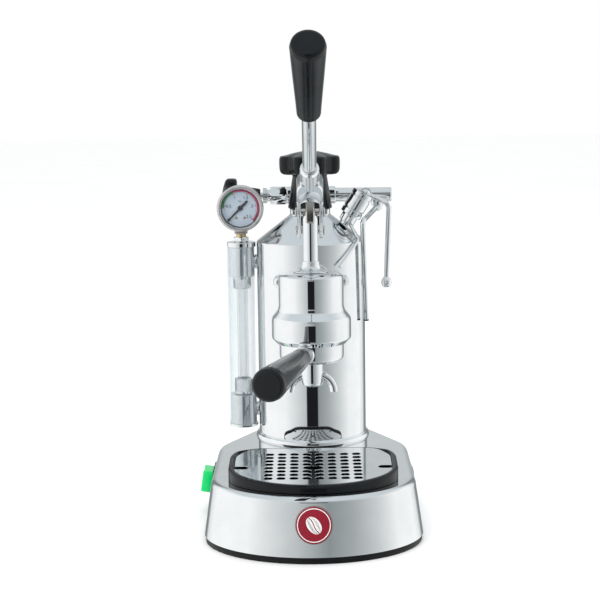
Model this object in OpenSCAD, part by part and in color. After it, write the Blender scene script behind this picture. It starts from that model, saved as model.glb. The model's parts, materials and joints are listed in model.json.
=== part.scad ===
// Manual lever espresso machine: base with drip tray, vertical boiler, lever group,
// portafilter, sight glass with pressure gauge, steam valve with two wands.
// Millimetres. +Z up, front is -Y. The origin is on the table, under the boiler's axis.

/* [Base] */
// Width of the base at the table
base_w = 200; // [196:1:206]
// Height of the base's flat top
base_top = 57; // [55:0.5:58]
// Wall thickness of the pressed base
base_wall = 1.6; // [1.2:0.1:2]

/* [Boiler] */
// Outer radius of the boiler tube
boiler_r = 52.4; // [52:0.1:53]
// Height of the shoulder, where the cone starts
shoulder_z = 263; // [261:1:265]
// Height of the neck's top face
neck_z = 294; // [293:0.5:295]

/* [Group] */
// Distance from the boiler's axis to the group's axis
group_y = 95; // [94:0.5:96]
// Outer radius of the group's upper barrel
group_r = 29.6; // [29:0.1:30]
// Bore of the group's sleeve
sleeve_bore_r = 20; // [19.5:0.1:20.5]

/* [Lever] */
// Angle of the lever above the horizontal, as stored
lever_up = 35; // [30:1:40]
// Distance from the rear pivot to the tip of the handle
lever_len = 285; // [265:1:300]
// Radius of the two fork pins
pin_r = 3; // [2.8:0.1:3]

/* [Drip tray] */
// Hole columns and rows in the drip grid
grid_n = 8; // [4:1:8]
// Column pitch of the grid's holes
grid_pitch_x = 11.5; // [10:0.5:11.5]
// Row pitch of the grid's holes
grid_pitch_y = 9.2; // [8.5:0.1:9.2]

/* [Sight glass and gauge] */
// Distance from the boiler's axis to the sight glass axis
sight_x = 67.2; // [67:0.1:68]
// Radius of the gauge's bezel
gauge_r = 22.5; // [21:0.5:22.5]

/* [Steam valve] */
// Height of the valve's horizontal axis
valve_z = 304.5; // [304:0.5:305]
// Distance of the valve's axis behind the boiler's axis
valve_y = 33; // [32.5:0.5:33.5]
// Radius of the steam knob
steam_knob_r = 18.3; // [16:0.1:18.3]

/* [Hidden] */
$fn = 64;

// Clearances
run_gap = 0.05;             // radial clearance of a running fit
eps = 0.01;

// Base
pan_h = 6;                  // height of the pan's visible edge
front_y = 107;              // where the front ellipse meets the straight sides
front_depth = 77;           // depth of the front ellipse
side_end_y = 14;            // where the sides turn in towards the back
back_x = 60;                // half-width at the rear corners
back_y = 97;                // distance of the rear corners
back_bulge = 11;            // rise of the rear arc
wall_lean = 6.5;            // how far the wall leans in below the top edge
edge_r = 6;                 // radius of the top edge
wall_angle = atan(wall_lean / (base_top - edge_r - pan_h));
post_xy = [[-80, -100], [80, -100], [-56, 60], [56, 60]];
post_r = 5;
screw_r = 2;

// Drip tray
tray_half = 72;             // half-width of the grid
tray_mid_y = 112;           // where the front curve starts
tray_front = 48;            // depth of the front curve
tray_back_y = 57.5;         // back edge of the grid
tray_corner = [24, 28];     // size of the rounded back corners
rim_w = 5.2;                // width of the tray's rim
grid_row_y = 75.5;          // first row of the grid's holes
grid_tilt = 4.6;            // slope of the grid down to the front
grid_back_z = 71.4;         // height of the grid's back edge
tray_floor_z = 24;

// Boiler
boiler_wall = 1.8;
boiler_z = 59;              // underside of the boiler
cone_top_r = 20;
cone_top_z = 288;
neck_r = 19.5;
neck_bore_r = 12;
foot_r = 28;                // neck that passes through the base
foot_z = 38;

// Cap
cap_r = 31;
cap_lobe_r = 7;
cap_z = 327;
cap_h = 23;
plug_r = 11.9;

// Sight glass
sight_z = [84, 258];        // ends of the guard
guard_r = 14;
tap_z = [98, 243];          // heights of the two connections
gauge_z = 295.5;

// Steam valve
tube_r = 6.85;
valve_r = 8.65;
joint_b = [54.7, 22, 306];  // ball of the steam wand
joint_a = [66.5, 30, 293];  // ball of the side wand
ball_r = 4.8;
wand_r = 2.6;
wand_b_top = [77, 12, 297];
wand_b_low = [74, 12, 223];
wand_a_top = [49.6, -27, 283];
wand_a_low = [52.7, -22, 187];

// Safety valve
safety_at = [32, -9, 277];
safety_tilt = 31;
drain = [[37.5, -15.5, 281], [45.8, -31.5, 266.4], [27.1, -51.7, 242.6]];
drain_r = 1.5;

// Group
group_top = 243;
barrel_low = 213.7;
skirt_top = 200.8;
skirt_r = 36.1;
group_low = 179.5;
post_half = 6.5;
pivot = [0, -64, 278.5];
flange_z = 228;
bolt_x = 28.6;
bolt_z = 230.6;
pf_turn = 12.5;             // handle's angle from straight ahead
lip_z = 182;                // top of the bayonet lip
piston_z = [224, 238];
rod_r = 6.75;
rod_top = 296;

// Lever, measured from the pivot along the lever
fork_half = 11.75;
fork_gap = 8.3;
pin_l = 34.1;
crown_l = [60, 96];
collar_l = 110;
handle_l = 191;
slot_y = [-98.3, -91.7];    // travel of the rod pin in the crosshead

// --- helpers ---

module strut(p, q, r) {
    v = q - p;
    translate(p) rotate([0, acos(v[2] / norm(v)), atan2(v[1], v[0])])
        cylinder(r = r, h = norm(v));
}

module tube(r_out, r_in, z0, z1) {
    translate([0, 0, z0]) difference() {
        cylinder(r = r_out, h = z1 - z0);
        translate([0, 0, -1]) cylinder(r = r_in, h = z1 - z0 + 2);
    }
}

module hex(flats, h) {
    cylinder(r = flats / sqrt(3), h = h, $fn = 6);
}

// A round rod through the points, with a ball at each bend
module bent_rod(points, r) {
    last = len(points) - 1;
    for (i = [1:last]) strut(points[i - 1], points[i], r);
    if (last > 1) for (i = [1:last - 1]) translate(points[i]) sphere(r = r + 0.25);
}

// A short bore up the far end of a rod from p to q
module end_bore(p, q, r) {
    along = (q - p) / norm(q - p);
    strut(q - 8 * along, q + along, r);
}

// A cylinder along X from x0 to x1
module bar_x(r, x0, x1) {
    translate([x0, 0, 0]) rotate([0, 90, 0]) cylinder(r = r, h = x1 - x0);
}

// A cylinder along Y from y0 to y1
module bar_y(r, y0, y1) {
    translate([0, y0, 0]) rotate([-90, 0, 0]) cylinder(r = r, h = y1 - y0);
}

module at_sight() {
    translate([-sight_x, 0, 0]) children();
}

module at_gauge() {
    translate([-sight_x, 0, gauge_z]) children();
}

module at_valve() {
    translate([0, valve_y, valve_z]) children();
}

module at_group() {
    translate([0, -group_y, 0]) children();
}

// The lever's own frame: origin at the pivot, the lever along -Y
module in_lever() {
    translate(pivot) rotate([-lever_up, 0, 0]) children();
}

// Turned so that -Y is the portafilter's handle
module in_portafilter() {
    at_group() rotate([0, 0, -pf_turn]) children();
}

module at_safety() {
    translate(safety_at) rotate([0, safety_tilt, 0]) children();
}

// --- base ---

function base_half(z) = base_w / 2 - wall_lean * (z - pan_h) / (base_top - edge_r - pan_h);

// Outline of the base in plan, moved in by inset
function base_points(inset) =
    let (a = base_w / 2 - inset, b = front_depth - inset, bx = back_x - inset * 0.75,
        by = back_y - inset * 0.8, bow = (bx * bx + back_bulge * back_bulge) / (2 * back_bulge),
        spread = asin(bx / bow))
    concat(
        [for (t = [180:6:360]) [a * cos(t), -front_y + b * sin(t)]],
        [[a, side_end_y - 10], [a - 1.2, side_end_y], [a - 4, side_end_y + 9]],
        [[bx + 4.5, by - 8], [bx + 1, by - 2]],
        [for (t = [spread - 4:-(2 * spread - 8) / 12:-spread + 3.9])
            [bow * sin(t), by + back_bulge - bow * (1 - cos(t))]],
        [[-bx - 1, by - 2], [-bx - 4.5, by - 8]],
        [[-a + 4, side_end_y + 9], [-a + 1.2, side_end_y], [-a, side_end_y - 10]]);

module base_slice(z, inset, h = eps) {
    translate([0, 0, z]) linear_extrude(h) polygon(base_points(inset));
}

// The base's outer form, moved in by skin
module base_form(skin) {
    hull() {
        base_slice(pan_h, skin);
        base_slice(base_top - edge_r - skin, wall_lean + skin);
        for (t = [22.5:22.5:90])
            base_slice(base_top - edge_r - skin + edge_r * sin(t) - eps,
                wall_lean + skin + edge_r * (1 - cos(t)));
    }
}

// Outline of the grid in plan, grown by grow at the front and sides
function tray_points(grow, back = 0) = concat(
    [for (t = [180:7.5:360])
        [(tray_half + grow) * cos(t), -tray_mid_y + (tray_front + grow) * sin(t)]],
    [for (t = [0:10:90]) [tray_half - tray_corner[0] + (tray_corner[0] + grow) * cos(t),
        -tray_back_y - tray_corner[1] + (tray_corner[1] + back) * sin(t)]],
    [for (t = [90:10:180]) [-tray_half + tray_corner[0] + (tray_corner[0] + grow) * cos(t),
        -tray_back_y - tray_corner[1] + (tray_corner[1] + back) * sin(t)]]);

module tray_prism(grow, z0, z1, back = 0) {
    translate([0, 0, z0]) linear_extrude(z1 - z0) polygon(tray_points(grow, back));
}

// Everything above the grid's sloping plane, raised by lift
module above_grid(lift) {
    translate([-120, -tray_back_y, grid_back_z + lift]) rotate([grid_tilt, 0, 0])
        translate([0, -160, 0]) cube([240, 200, 60]);
}

module on_left_wall(y, z) {
    translate([-base_half(z), y, z]) rotate([0, wall_angle, 0]) children();
}

module on_right_wall(y, z) {
    translate([base_half(z), y, z]) rotate([0, -wall_angle, 0]) children();
}

module base_shell() {
    color("silver") {
        difference() {
            base_form(0);
            translate([0, 0, -eps]) base_form(base_wall);
            translate([0, 0, base_top - 10]) cylinder(r = foot_r + 0.5, h = 20);
            tray_prism(-1.2, base_top - 10, base_top + 5, -1.2);
            on_left_wall(-14, 30) cube([14, 31, 24], center = true);
            on_right_wall(-8, 33) bar_x(6.4, -8, 8);
            translate([30, 0, 26]) bar_y(7.2, 80, 120);
        }
        for (p = post_xy) translate([p[0], p[1], 0])
            tube(post_r, screw_r + run_gap, pan_h + 2, base_top - base_wall);
    }
}

module base_pan() {
    color("#1b1b1d") difference() {
        union() {
            base_slice(0, 1.2, pan_h - 0.2);
            base_slice(pan_h - 0.3, base_wall + 1.1, 6);
        }
        base_slice(3, 5, 12);
        for (p = post_xy) translate([p[0], p[1], -1]) {
            cylinder(r = screw_r + run_gap, h = 20);
            cylinder(r = 4.4, h = 2.6);
        }
        for (i = [-4:4]) translate([i * 9 - 2, 30, -1]) cube([4, 34, 10]);
    }
    color("#1b1b1d") for (p = post_xy) translate([p[0], p[1], 0])
        tube(post_r + 1.4, screw_r + run_gap, 2.9, pan_h + 1.8);
}

module base_screws() {
    color("#8a8d90") for (p = post_xy) translate([p[0], p[1], 0]) difference() {
        union() {
            translate([0, 0, 0.4]) cylinder(r = 3.8, h = 1.1);
            translate([0, 0, 1.4]) cylinder(r = screw_r, h = 24);
        }
        translate([0, 0, 0.3]) hex(2.2, 0.8);
    }
}

module drip_tray() {
    color("#161618") difference() {
        union() {
            tray_prism(-1.6, tray_floor_z - 2, base_top + 1, -1.6);
            tray_prism(rim_w, base_top + 0.3, 80, 0);
        }
        tray_prism(-3.6, tray_floor_z, base_top + 2, -3.6);
        tray_prism(-2, base_top + 1.9, 90, -2.5);
        above_grid(1.6);
        intersection() {
            tray_prism(0.3, base_top + 1, 90, 2);
            above_grid(-1.35);
        }
    }
}

module drip_grid() {
    color("gainsboro") difference() {
        intersection() {
            tray_prism(0, base_top + 1, 85, 0);
            difference() {
                above_grid(-1.2);
                above_grid(0);
            }
        }
        for (i = [0:grid_n - 1], j = [0:grid_n - 1])
            if (!((i == 3 || i == 4) && j == 4))
                translate([(i - (grid_n - 1) / 2) * grid_pitch_x, -grid_row_y - j * grid_pitch_y, 50])
                    intersection() {
                        cylinder(r = 4, h = 30, $fn = 24);
                        translate([-4, -3.2, 0]) cube([8, 6.4, 30]);
                    }
        translate([0, -grid_row_y - 4 * grid_pitch_y, 50]) {
            translate([-5, -4.2, 0]) cube([10, 8.4, 30]);
            for (s = [-1, 1]) translate([5 * s, 0, 0]) cylinder(r = 4.2, h = 30);
        }
        for (s = [-1, 1]) translate([s * (tray_half - 1), -111, 50]) {
            translate([-8, -4, 0]) cube([16, 8, 30]);
            translate([-8 * s, 0, 0]) cylinder(r = 4, h = 30);
        }
    }
}

// A plain enamel disc on the front wall
module badge() {
    color("#9c1c2a") intersection() {
        translate([0, -front_y - front_depth + 8, 34]) bar_y(16.5, -14, 8);
        difference() {
            base_form(-1.1);
            base_form(-0.05);
        }
    }
}

module switch_housing() {
    color("#101012") on_left_wall(-14, 30) difference() {
        union() {
            translate([-2.2, -18, -13.5]) cube([2.1, 36, 27]);
            translate([-2, -15.2, -11.7]) cube([20, 30.4, 23.4]);
        }
        translate([-3, -14, -10.7]) cube([15, 28, 21.4]);
        translate([2, 0, -11.2]) cylinder(r = 1.05, h = 22.4);
    }
}

module switch_rocker() {
    color("#12b56a") on_left_wall(-14, 30) {
        linear_extrude(20.6, center = true) polygon([[0.5, -12.4], [-10.6, -12.2],
            [-12, -11], [-9.6, -4], [-9.2, 0], [-9.6, 4], [-12, 11], [-10.6, 12.2], [0.5, 12.4],
            [4, 4], [4, -4]]);
        translate([2, 0, 0]) cylinder(r = 1, h = 22.2, center = true);
    }
}

module pilot_lamp() {
    color("#3a0d10") on_right_wall(-8, 33) rotate([0, 90, 0]) rotate_extrude() polygon(concat(
        [[0, -14], [6.2, -14], [6.2, 0.15], [8.2, 0.15], [8.2, 1.2], [6.8, 1.4]],
        [for (t = [30:15:90]) [7 * cos(t), 0.2 + 2.6 * sin(t)]]));
}

module cord_gland() {
    color("#18181a") translate([30, 0, 26]) difference() {
        union() {
            bar_y(7, 96, 108);
            bar_y(9.5, 105.2, 108);
        }
        bar_y(3.6, 90, 120);
    }
}

module pressure_switch() {
    color("#c9cdd0") translate([0, 68, 14]) {
        translate([-14, -11, 0]) cube([28, 22, 20]);
        translate([0, 0, 20]) cylinder(r = 12, h = 7);
        translate([0, 0, 27]) cylinder(r = 4, h = 9);
    }
}

// --- boiler ---

module boiler_shell() {
    color("gainsboro") difference() {
        union() {
            rotate_extrude() polygon([[foot_r - 4, foot_z], [foot_r, foot_z],
                [foot_r, boiler_z], [boiler_r, boiler_z], [boiler_r, shoulder_z - 3],
                [boiler_r - 0.6, shoulder_z - 0.8], [boiler_r - 2, shoulder_z + 0.8],
                [cone_top_r, cone_top_z], [neck_r, cone_top_z], [neck_r, neck_z - 0.5],
                [neck_r - 0.5, neck_z], [neck_bore_r, neck_z], [neck_bore_r, cone_top_z - 2],
                [cone_top_r - 3, cone_top_z - 3.4],
                [boiler_r - 4, shoulder_z - 0.8], [boiler_r - boiler_wall, shoulder_z - 4],
                [boiler_r - boiler_wall, boiler_z + 2.4], [foot_r - 4, boiler_z + 2.4]]);
            // Pad for the group's flange
            difference() {
                translate([0, 0, flange_z]) {
                    bar_y(20, -55, -40);
                    for (s = [-1, 1]) translate([s * bolt_x, 0, bolt_z - flange_z])
                        bar_y(6, -55, -38);
                    translate([-bolt_x, -55, bolt_z - flange_z - 6]) cube([2 * bolt_x, 17, 12]);
                }
                translate([0, 0, 150]) cylinder(r = boiler_r - 1, h = 150);
            }
            // Boss for the safety valve
            intersection() {
                at_safety() translate([0, 0, -12]) cylinder(r = 7.5, h = 14);
                translate([0, 0, 262]) cylinder(r1 = boiler_r + 2.6, r2 = cone_top_r + 1.6, h = 27);
            }
        }
        for (s = [-1, 1]) translate([s * bolt_x, 0, bolt_z]) bar_y(3.05, -70, -42.5);
        translate([0, 0, flange_z]) bar_y(5, -70, -40);
        for (z = tap_z) translate([0, 0, z]) bar_x(4, -60, -40);
        at_safety() translate([0, 0, -30]) cylinder(r = 3.5, h = 60);
        translate([0, valve_y, 250]) cylinder(r = 4, h = 60);
    }
}

module boiler_ring() {
    color("silver") difference() {
        union() {
            translate([0, 0, base_top]) cylinder(r = 53.6, h = 20);
            translate([0, 0, base_top + 15.5]) rotate_extrude() translate([52, 0])
                circle(r = 3.6);
        }
        translate([0, 0, base_top - 1]) cylinder(r = boiler_r + 0.02, h = 40);
    }
}

module boiler_gasket() {
    color("#2a2a2a") tube(50, foot_r + 0.2, base_top, boiler_z);
}

module boiler_nut() {
    color("#b08d4a") translate([0, 0, base_top - base_wall - 13]) difference() {
        hex(68, 12.8);
        translate([0, 0, -1]) cylinder(r = foot_r + 0.02, h = 20);
    }
}

module heating_element() {
    color("#a9adb0") {
        difference() {
            union() {
                translate([0, 0, foot_z - 7]) hex(46, 7);
                translate([0, 0, foot_z - eps]) cylinder(r = foot_r - 4.05, h = 14);
            }
            for (x = [-12, 12]) translate([x, 0, foot_z - 8]) cylinder(r = 1.6, h = 5);
        }
        for (x = [-12, 12]) {
            translate([x, 0, foot_z + 10]) cylinder(r = 4, h = 82);
            translate([x, 0, foot_z - 15]) cylinder(r = 1.5, h = 12);
        }
        translate([0, 0, foot_z + 92]) rotate([90, 0, 0]) rotate_extrude(angle = 180)
            translate([12, 0]) circle(r = 4);
    }
}

// --- cap ---

module cap_plug() {
    color("#c8ccce") {
        translate([0, 0, neck_z - 16]) cylinder(r = plug_r, h = 16);
        translate([0, 0, neck_z - eps]) cylinder(r = 8, h = 30);
    }
}

module cap_seal() {
    color("#30302f") tube(15.4, plug_r + 0.05, neck_z + 0.05, neck_z + 1.8);
}

module cap_knob() {
    color("#1d1e20") {
        difference() {
            union() {
                translate([0, 0, neck_z + 0.35]) cylinder(r1 = 21.3, r2 = 16.3, h = cap_z - neck_z);
                intersection() {
                    translate([0, 0, cap_z]) linear_extrude(cap_h) union() {
                        circle(r = cap_r - 5);
                        for (a = [0:45:315]) rotate(a + 22.5) translate([cap_r - cap_lobe_r, 0])
                            circle(r = cap_lobe_r);
                    }
                    translate([0, 0, cap_z + cap_h - 72]) sphere(r = 72, $fn = 96);
                    translate([0, 0, cap_z]) cylinder(r1 = 26, r2 = 56, h = 18);
                }
                translate([0, 0, cap_z]) intersection() {
                    cylinder(r = 24, h = cap_h);
                    translate([0, 0, cap_h - 72]) sphere(r = 72, $fn = 96);
                }
            }
            translate([0, 0, neck_z]) cylinder(r = 8 + run_gap, h = 30.5);
            translate([0, 0, neck_z - 1]) cylinder(r = 16, h = 3.4);
        }
    }
}

// --- sight glass and gauge ---

module sight_top_fitting() {
    color("silver") at_sight() difference() {
        union() {
            translate([0, 0, 229]) cylinder(r = 12.6, h = 28);
            translate([0, 0, 258.1]) cylinder(r = guard_r, h = 4.5);
            translate([0, 0, 256]) cylinder(r = 12.6, h = 3);
            translate([0, 0, tap_z[1]]) bar_x(6, 0, sight_x - boiler_r - 0.1);
            translate([0, 0, 262.5]) cylinder(r = 4.4, h = 3);
        }
        translate([0, 0, 228]) cylinder(r = 3.4, h = 45);
        translate([0, 0, tap_z[1]]) bar_x(3.4, 0, 30);
        translate([0, 0, 228]) cylinder(r = 5.6, h = 7);
    }
}

module sight_bottom_fitting() {
    color("silver") at_sight() difference() {
        union() {
            translate([0, 0, 84.4]) cylinder(r = 12.6, h = 28.2);
            translate([0, 0, 81]) cylinder(r = guard_r, h = 2.9);
            translate([0, 0, 83]) cylinder(r = 12.6, h = 2);
            translate([0, 0, tap_z[0]]) bar_x(6, 0, sight_x - boiler_r - 0.1);
        }
        translate([0, 0, 88]) cylinder(r = 3.4, h = 30);
        translate([0, 0, tap_z[0]]) bar_x(3.4, 0, 30);
        translate([0, 0, 106]) cylinder(r = 5.6, h = 10);
    }
}

module sight_glass() {
    color("#cfe0e6", 0.35) at_sight() tube(5.5, 3.7, 107, 234);
}

module sight_guard() {
    color("#dfe8ea", 0.25) at_sight() difference() {
        tube(guard_r, guard_r - 1.2, sight_z[0], sight_z[1]);
        translate([0, -6.6, 60]) cube([20, 13.2, 220]);
    }
}

module sight_nuts() {
    color("silver") at_sight() {
        difference() {
            union() {
                translate([0, 0, 217]) hex(15.6, 11.8);
                translate([0, 0, 226]) cylinder(r = 8.6, h = 2.8);
            }
            translate([0, 0, 216]) cylinder(r = 5.6, h = 14);
            translate([0, 0, 224]) cylinder(r = 6.8, h = 6);
        }
        difference() {
            union() {
                translate([0, 0, 112.8]) hex(16, 15.4);
                translate([0, 0, 112.8]) cylinder(r = 9, h = 2.8);
                translate([0, 0, 126.4]) cylinder(r = 8.8, h = 1.8);
            }
            translate([0, 0, 112]) cylinder(r = 5.6, h = 18);
            translate([0, 0, 112]) cylinder(r = 6.8, h = 5.6);
        }
    }
}

module sight_seals() {
    color("#3a3a3a") at_sight() {
        tube(6.7, 5.55, 224.2, 228.4);
        tube(6.7, 5.55, 113.2, 117.4);
    }
}

module gauge_stem() {
    color("#c9c4b8") at_sight() difference() {
        union() {
            translate([0, 0, 262.7]) hex(14.4, 4.4);
            translate([0, 0, 267]) cylinder(r = 5.2, h = 4);
            translate([-6.4, -5.9, 270.6]) cube([12.8, 12.3, 5]);
        }
        translate([0, 0, 262]) cylinder(r = 4.5, h = 3.6);
        translate([0, 0, 262]) cylinder(r = 1.5, h = 20);
        at_gauge_hollow();
    }
}

// The round space that the gauge's case takes out of the stem
module at_gauge_hollow() {
    translate([0, 0, gauge_z]) bar_y(gauge_r - 1.5 + 0.02, -12, 30);
}

module gauge_case() {
    color("#b9babc") at_gauge() difference() {
        bar_y(gauge_r - 1.5, -6, 10);
        bar_y(gauge_r - 2.7, -7, 8.4);
    }
}

module gauge_bezel() {
    color("#c4c2c0") at_gauge() difference() {
        union() {
            bar_y(gauge_r, -11.5, -6.02);
            translate([0, -11.5, 0]) rotate([90, 0, 0]) cylinder(r1 = gauge_r, r2 = gauge_r - 2.2, h = 2.2);
        }
        bar_y(gauge_r - 2.9, -10.4, -5);
        bar_y(gauge_r - 3.9, -15, -5);
    }
}

module gauge_dial() {
    color("#dde3e8") at_gauge() {
        difference() {
            bar_y(gauge_r - 3, -7, -6.2);
            bar_y(1.2, -9, 0);
        }
        for (x = [-4, 4]) translate([x, 0, -9.3]) bar_y(1.3, -7.5, -6.9);
    }
}

module gauge_needle() {
    color("#23282d") at_gauge() rotate([0, -45, 0]) {
        difference() {
            bar_y(2.2, -9, -7.7);
            bar_y(0.5, -10, -8.2);
        }
        bar_y(1, -7.8, -6.3);
        translate([-17.5, -8.6, -0.5]) cube([16, 0.5, 1]);
        translate([0, -8.6, -0.9]) cube([10, 0.5, 1.8]);
    }
}

module gauge_lens() {
    color("#eef4f7", 0.3) at_gauge() bar_y(gauge_r - 3, -10.35, -9.35);
}

// --- steam valve and wands ---

module valve_body() {
    color("silver") difference() {
        union() {
            at_valve() {
                bar_x(valve_r, -22.6, 24.8);
                bar_x(tube_r, 24, 79.4);
                bar_x(tube_r - 0.9, 79, 80.6);
            }
            translate([0, valve_y, 279.6]) cylinder(r = 8.2, h = valve_z - 279.6);
            translate([joint_b[0], valve_y, joint_b[2]]) bar_y(5.8, joint_b[1] - valve_y + 1.2, -2);
            translate([joint_a[0], joint_a[1], joint_a[2] + 2.3]) cylinder(r = 5.6, h = 6.7);
        }
        // Trim the boss to the boiler's cone
        translate([0, 0, 262]) cylinder(r1 = boiler_r + 1.6, r2 = cone_top_r + 0.3, h = 26.2);
        at_valve() bar_x(4.2, -30, -14);
        at_valve() bar_x(2.5, -15, 76);
        translate([0, valve_y, 270]) cylinder(r = 2.5, h = valve_z - 270);
        translate(joint_b) sphere(r = ball_r + run_gap);
        translate(joint_a) sphere(r = ball_r + run_gap);
    }
}

module valve_nut() {
    color("silver") at_valve() difference() {
        union() {
            translate([-39.4, 0, 0]) rotate([0, 90, 0]) hex(17, 16.6);
            bar_x(6, -42.2, -39);
        }
        bar_x(3 + run_gap, -45, -20);
    }
}

module valve_stem() {
    color("#9a9da0") at_valve() {
        bar_x(3, -79, -18);
        translate([-18 - eps, 0, 0]) rotate([0, 90, 0]) cylinder(r1 = 3, r2 = 0.8, h = 3);
        bar_x(7.5, -46.4, -42.6);
    }
}

module steam_knob() {
    color("#1b1c1e") at_valve() difference() {
        intersection() {
            union() {
                translate([-87, 0, 0]) rotate([0, 90, 0]) linear_extrude(15) union() {
                    circle(r = steam_knob_r - 2.6);
                    for (a = [0:45:315]) rotate(a + 22.5) translate([steam_knob_r - 5, 0])
                        circle(r = 5);
                }
                translate([-73, 0, 0]) rotate([0, 90, 0]) cylinder(r1 = 13, r2 = 8, h = 24);
            }
            translate([-34, 0, 0]) sphere(r = 53, $fn = 96);
        }
        bar_x(3.02, -79.5, -40);
    }
}

module steam_wand() {
    color("silver") difference() {
        union() {
            translate(joint_b) rotate([0, 0, 90]) sphere(r = ball_r);
            bent_rod([joint_b, wand_b_top, wand_b_low], wand_r);
        }
        end_bore(wand_b_top, wand_b_low, 1.4);
        translate(joint_b + [0, 0, 1]) cylinder(r = 1.4, h = ball_r);  // steam port in the ball
    }
}

module steam_tip() {
    color("silver") translate(wand_b_low + [0, 0, -3.6]) difference() {
        sphere(r = 5.3);
        translate([0, 0, 3.4]) cylinder(r = wand_r + 0.02, h = 4);
        translate([0, 0, -6]) cylinder(r = 0.9, h = 10);
    }
}

module side_wand() {
    color("silver") difference() {
        union() {
            translate(joint_a) sphere(r = ball_r);
            bent_rod([joint_a, wand_a_top, wand_a_low], wand_r - 0.1);
        }
        end_bore(wand_a_top, wand_a_low, 1.6);
    }
}

// --- safety valve ---

module safety_valve() {
    color("silver") difference() {
        at_safety() difference() {
            union() {
                translate([0, 0, 2.1]) cylinder(r = 6, h = 4);
                translate([0, 0, 5]) hex(14.5, 6.6);
                translate([0, 0, 11]) cylinder(r = 8, h = 2);
                translate([0, 0, 12.6]) cylinder(r = 10.5, h = 25.6);
            }
            translate([0, 0, 15]) cylinder(r = 8.6, h = 21);
            translate([0, 0, 30]) cylinder(r = 3.4, h = 20);
            translate([0, 0, -1]) cylinder(r = 2.4, h = 20);
        }
        // Socket of the discharge tube
        strut(drain[0] - 0.006 * (drain[1] - drain[0]), drain[1], drain_r + 0.02);
    }
}

module safety_spring() {
    color("#8f9396") at_safety() for (i = [0:4])
        translate([0, 0, 20 + i * 3.3]) rotate_extrude() translate([4.6, 0]) circle(r = 0.8);
}

module safety_ball() {
    color("#a4a8ab") at_safety() translate([0, 0, 17.4]) sphere(r = 3.2);
}

module discharge_tube() {
    color("silver") bent_rod(drain, drain_r);
}

// --- group ---

module group_body() {
    color("gainsboro") difference() {
        union() {
            at_group() rotate_extrude() polygon([
                [0, group_top + 1], [9, group_top + 1], [group_r - 4, group_top - 0.6],
                [group_r - 1.4, group_top - 1.8], [group_r, group_top - 4.6],
                [group_r, barrel_low], [group_r + 0.6, barrel_low - 3],
                [skirt_r - 1.4, skirt_top + 2.4], [skirt_r - 0.2, skirt_top - 1],
                [skirt_r, skirt_top - 4], [skirt_r, 186], [skirt_r - 1.4, 182.6],
                [skirt_r - 4.2, group_low], [0, group_low]]);
            translate([0, 0, flange_z]) bar_y(20, -60, -55.02);
            translate([0, 0, flange_z]) bar_y(16, -72, -56);
            for (s = [-1, 1]) translate([s * bolt_x, 0, bolt_z]) bar_y(6, -60, -55.02);
            translate([-bolt_x, -60, bolt_z - 6]) cube([2 * bolt_x, 4.98, 12]);
            // Post that carries the lever's pivot
            translate(pivot) bar_x(9, -post_half, post_half);
            translate([-post_half, -72.4, 236]) cube([2 * post_half, 16.8, pivot[2] - 236]);
        }
        at_group() {
            translate([0, 0, 150]) cylinder(r = 22, h = 90);
            translate([0, 0, 150]) cylinder(r = rod_r + 1.5, h = 120);
            translate([0, 0, lip_z]) cylinder(r = 31.1, h = 8);
            translate([0, 0, 150]) cylinder(r = 29.8, h = 32 + eps);
            // Gaps in the lip that let the lugs in
            for (a = [302.5, 122.5]) rotate(a) intersection() {
                translate([0, -17, 150]) cube([60, 34, 34]);
                translate([0, 0, 150]) cylinder(r = 31, h = 34);
            }
        }
        translate(pivot) bar_x(pin_r + run_gap, -20, 20);
        for (s = [-1, 1]) translate([s * bolt_x, 0, bolt_z]) bar_y(3.05, -70, -50);
        translate([0, 0, flange_z]) bar_y(5, -74, -50);
    }
}

module group_sleeve() {
    color("#b9bdc0") at_group() difference() {
        tube(21.98, sleeve_bore_r, 190.05, 239.9);
        translate([0, 0, 215]) bar_y(2, 10, 30);
    }
}

module group_bolts() {
    color("silver") for (s = [-1, 1]) translate([s * bolt_x, 0, bolt_z]) {
        bar_y(3, -62, -43);
        intersection() {
            translate([0, -56, 0]) sphere(r = 9.4);
            bar_y(6.4, -66, -60.02);
        }
    }
}

module group_gasket() {
    color("#262626") at_group() tube(29, 22.2, 186.5, 189.98);
}

module shower_screen() {
    color("silver") at_group() difference() {
        translate([0, 0, 187.2]) cylinder(r = 21.9, h = 1.2);
        for (k = [1:3], i = [0:6 * k - 1]) rotate(i * 60 / k) translate([k * 5.6, 0, 186])
            cylinder(r = 1.1, h = 4, $fn = 16);
    }
}

module rod_gland() {
    color("silver") at_group() difference() {
        rotate_extrude() polygon([[rod_r + run_gap, 240.2], [rod_r + 1.48, 240.2],
            [rod_r + 1.48, group_top + 1.02], [16, group_top + 1.02], [15.4, group_top + 1.6],
            [12, group_top + 2.6], [9.6, group_top + 4.4], [8.2, group_top + 7],
            [7.6, group_top + 10], [rod_r + run_gap, group_top + 10]]);
    }
}

module piston() {
    color("#c9cdd0") at_group() difference() {
        translate([0, 0, piston_z[0]]) cylinder(r = 19.6, h = piston_z[1] - piston_z[0]);
        for (z = [225.6, 232.4])
            tube(21, 16.6, z, z + 4);
        translate([0, 0, 229]) cylinder(r = 5 + 0.02, h = 20);
    }
}

module piston_seals() {
    color("#2b2b2b") at_group() for (z = [225.7, 232.5])
        tube(sleeve_bore_r - run_gap, 16.65, z, z + 3.8);
}

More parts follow.
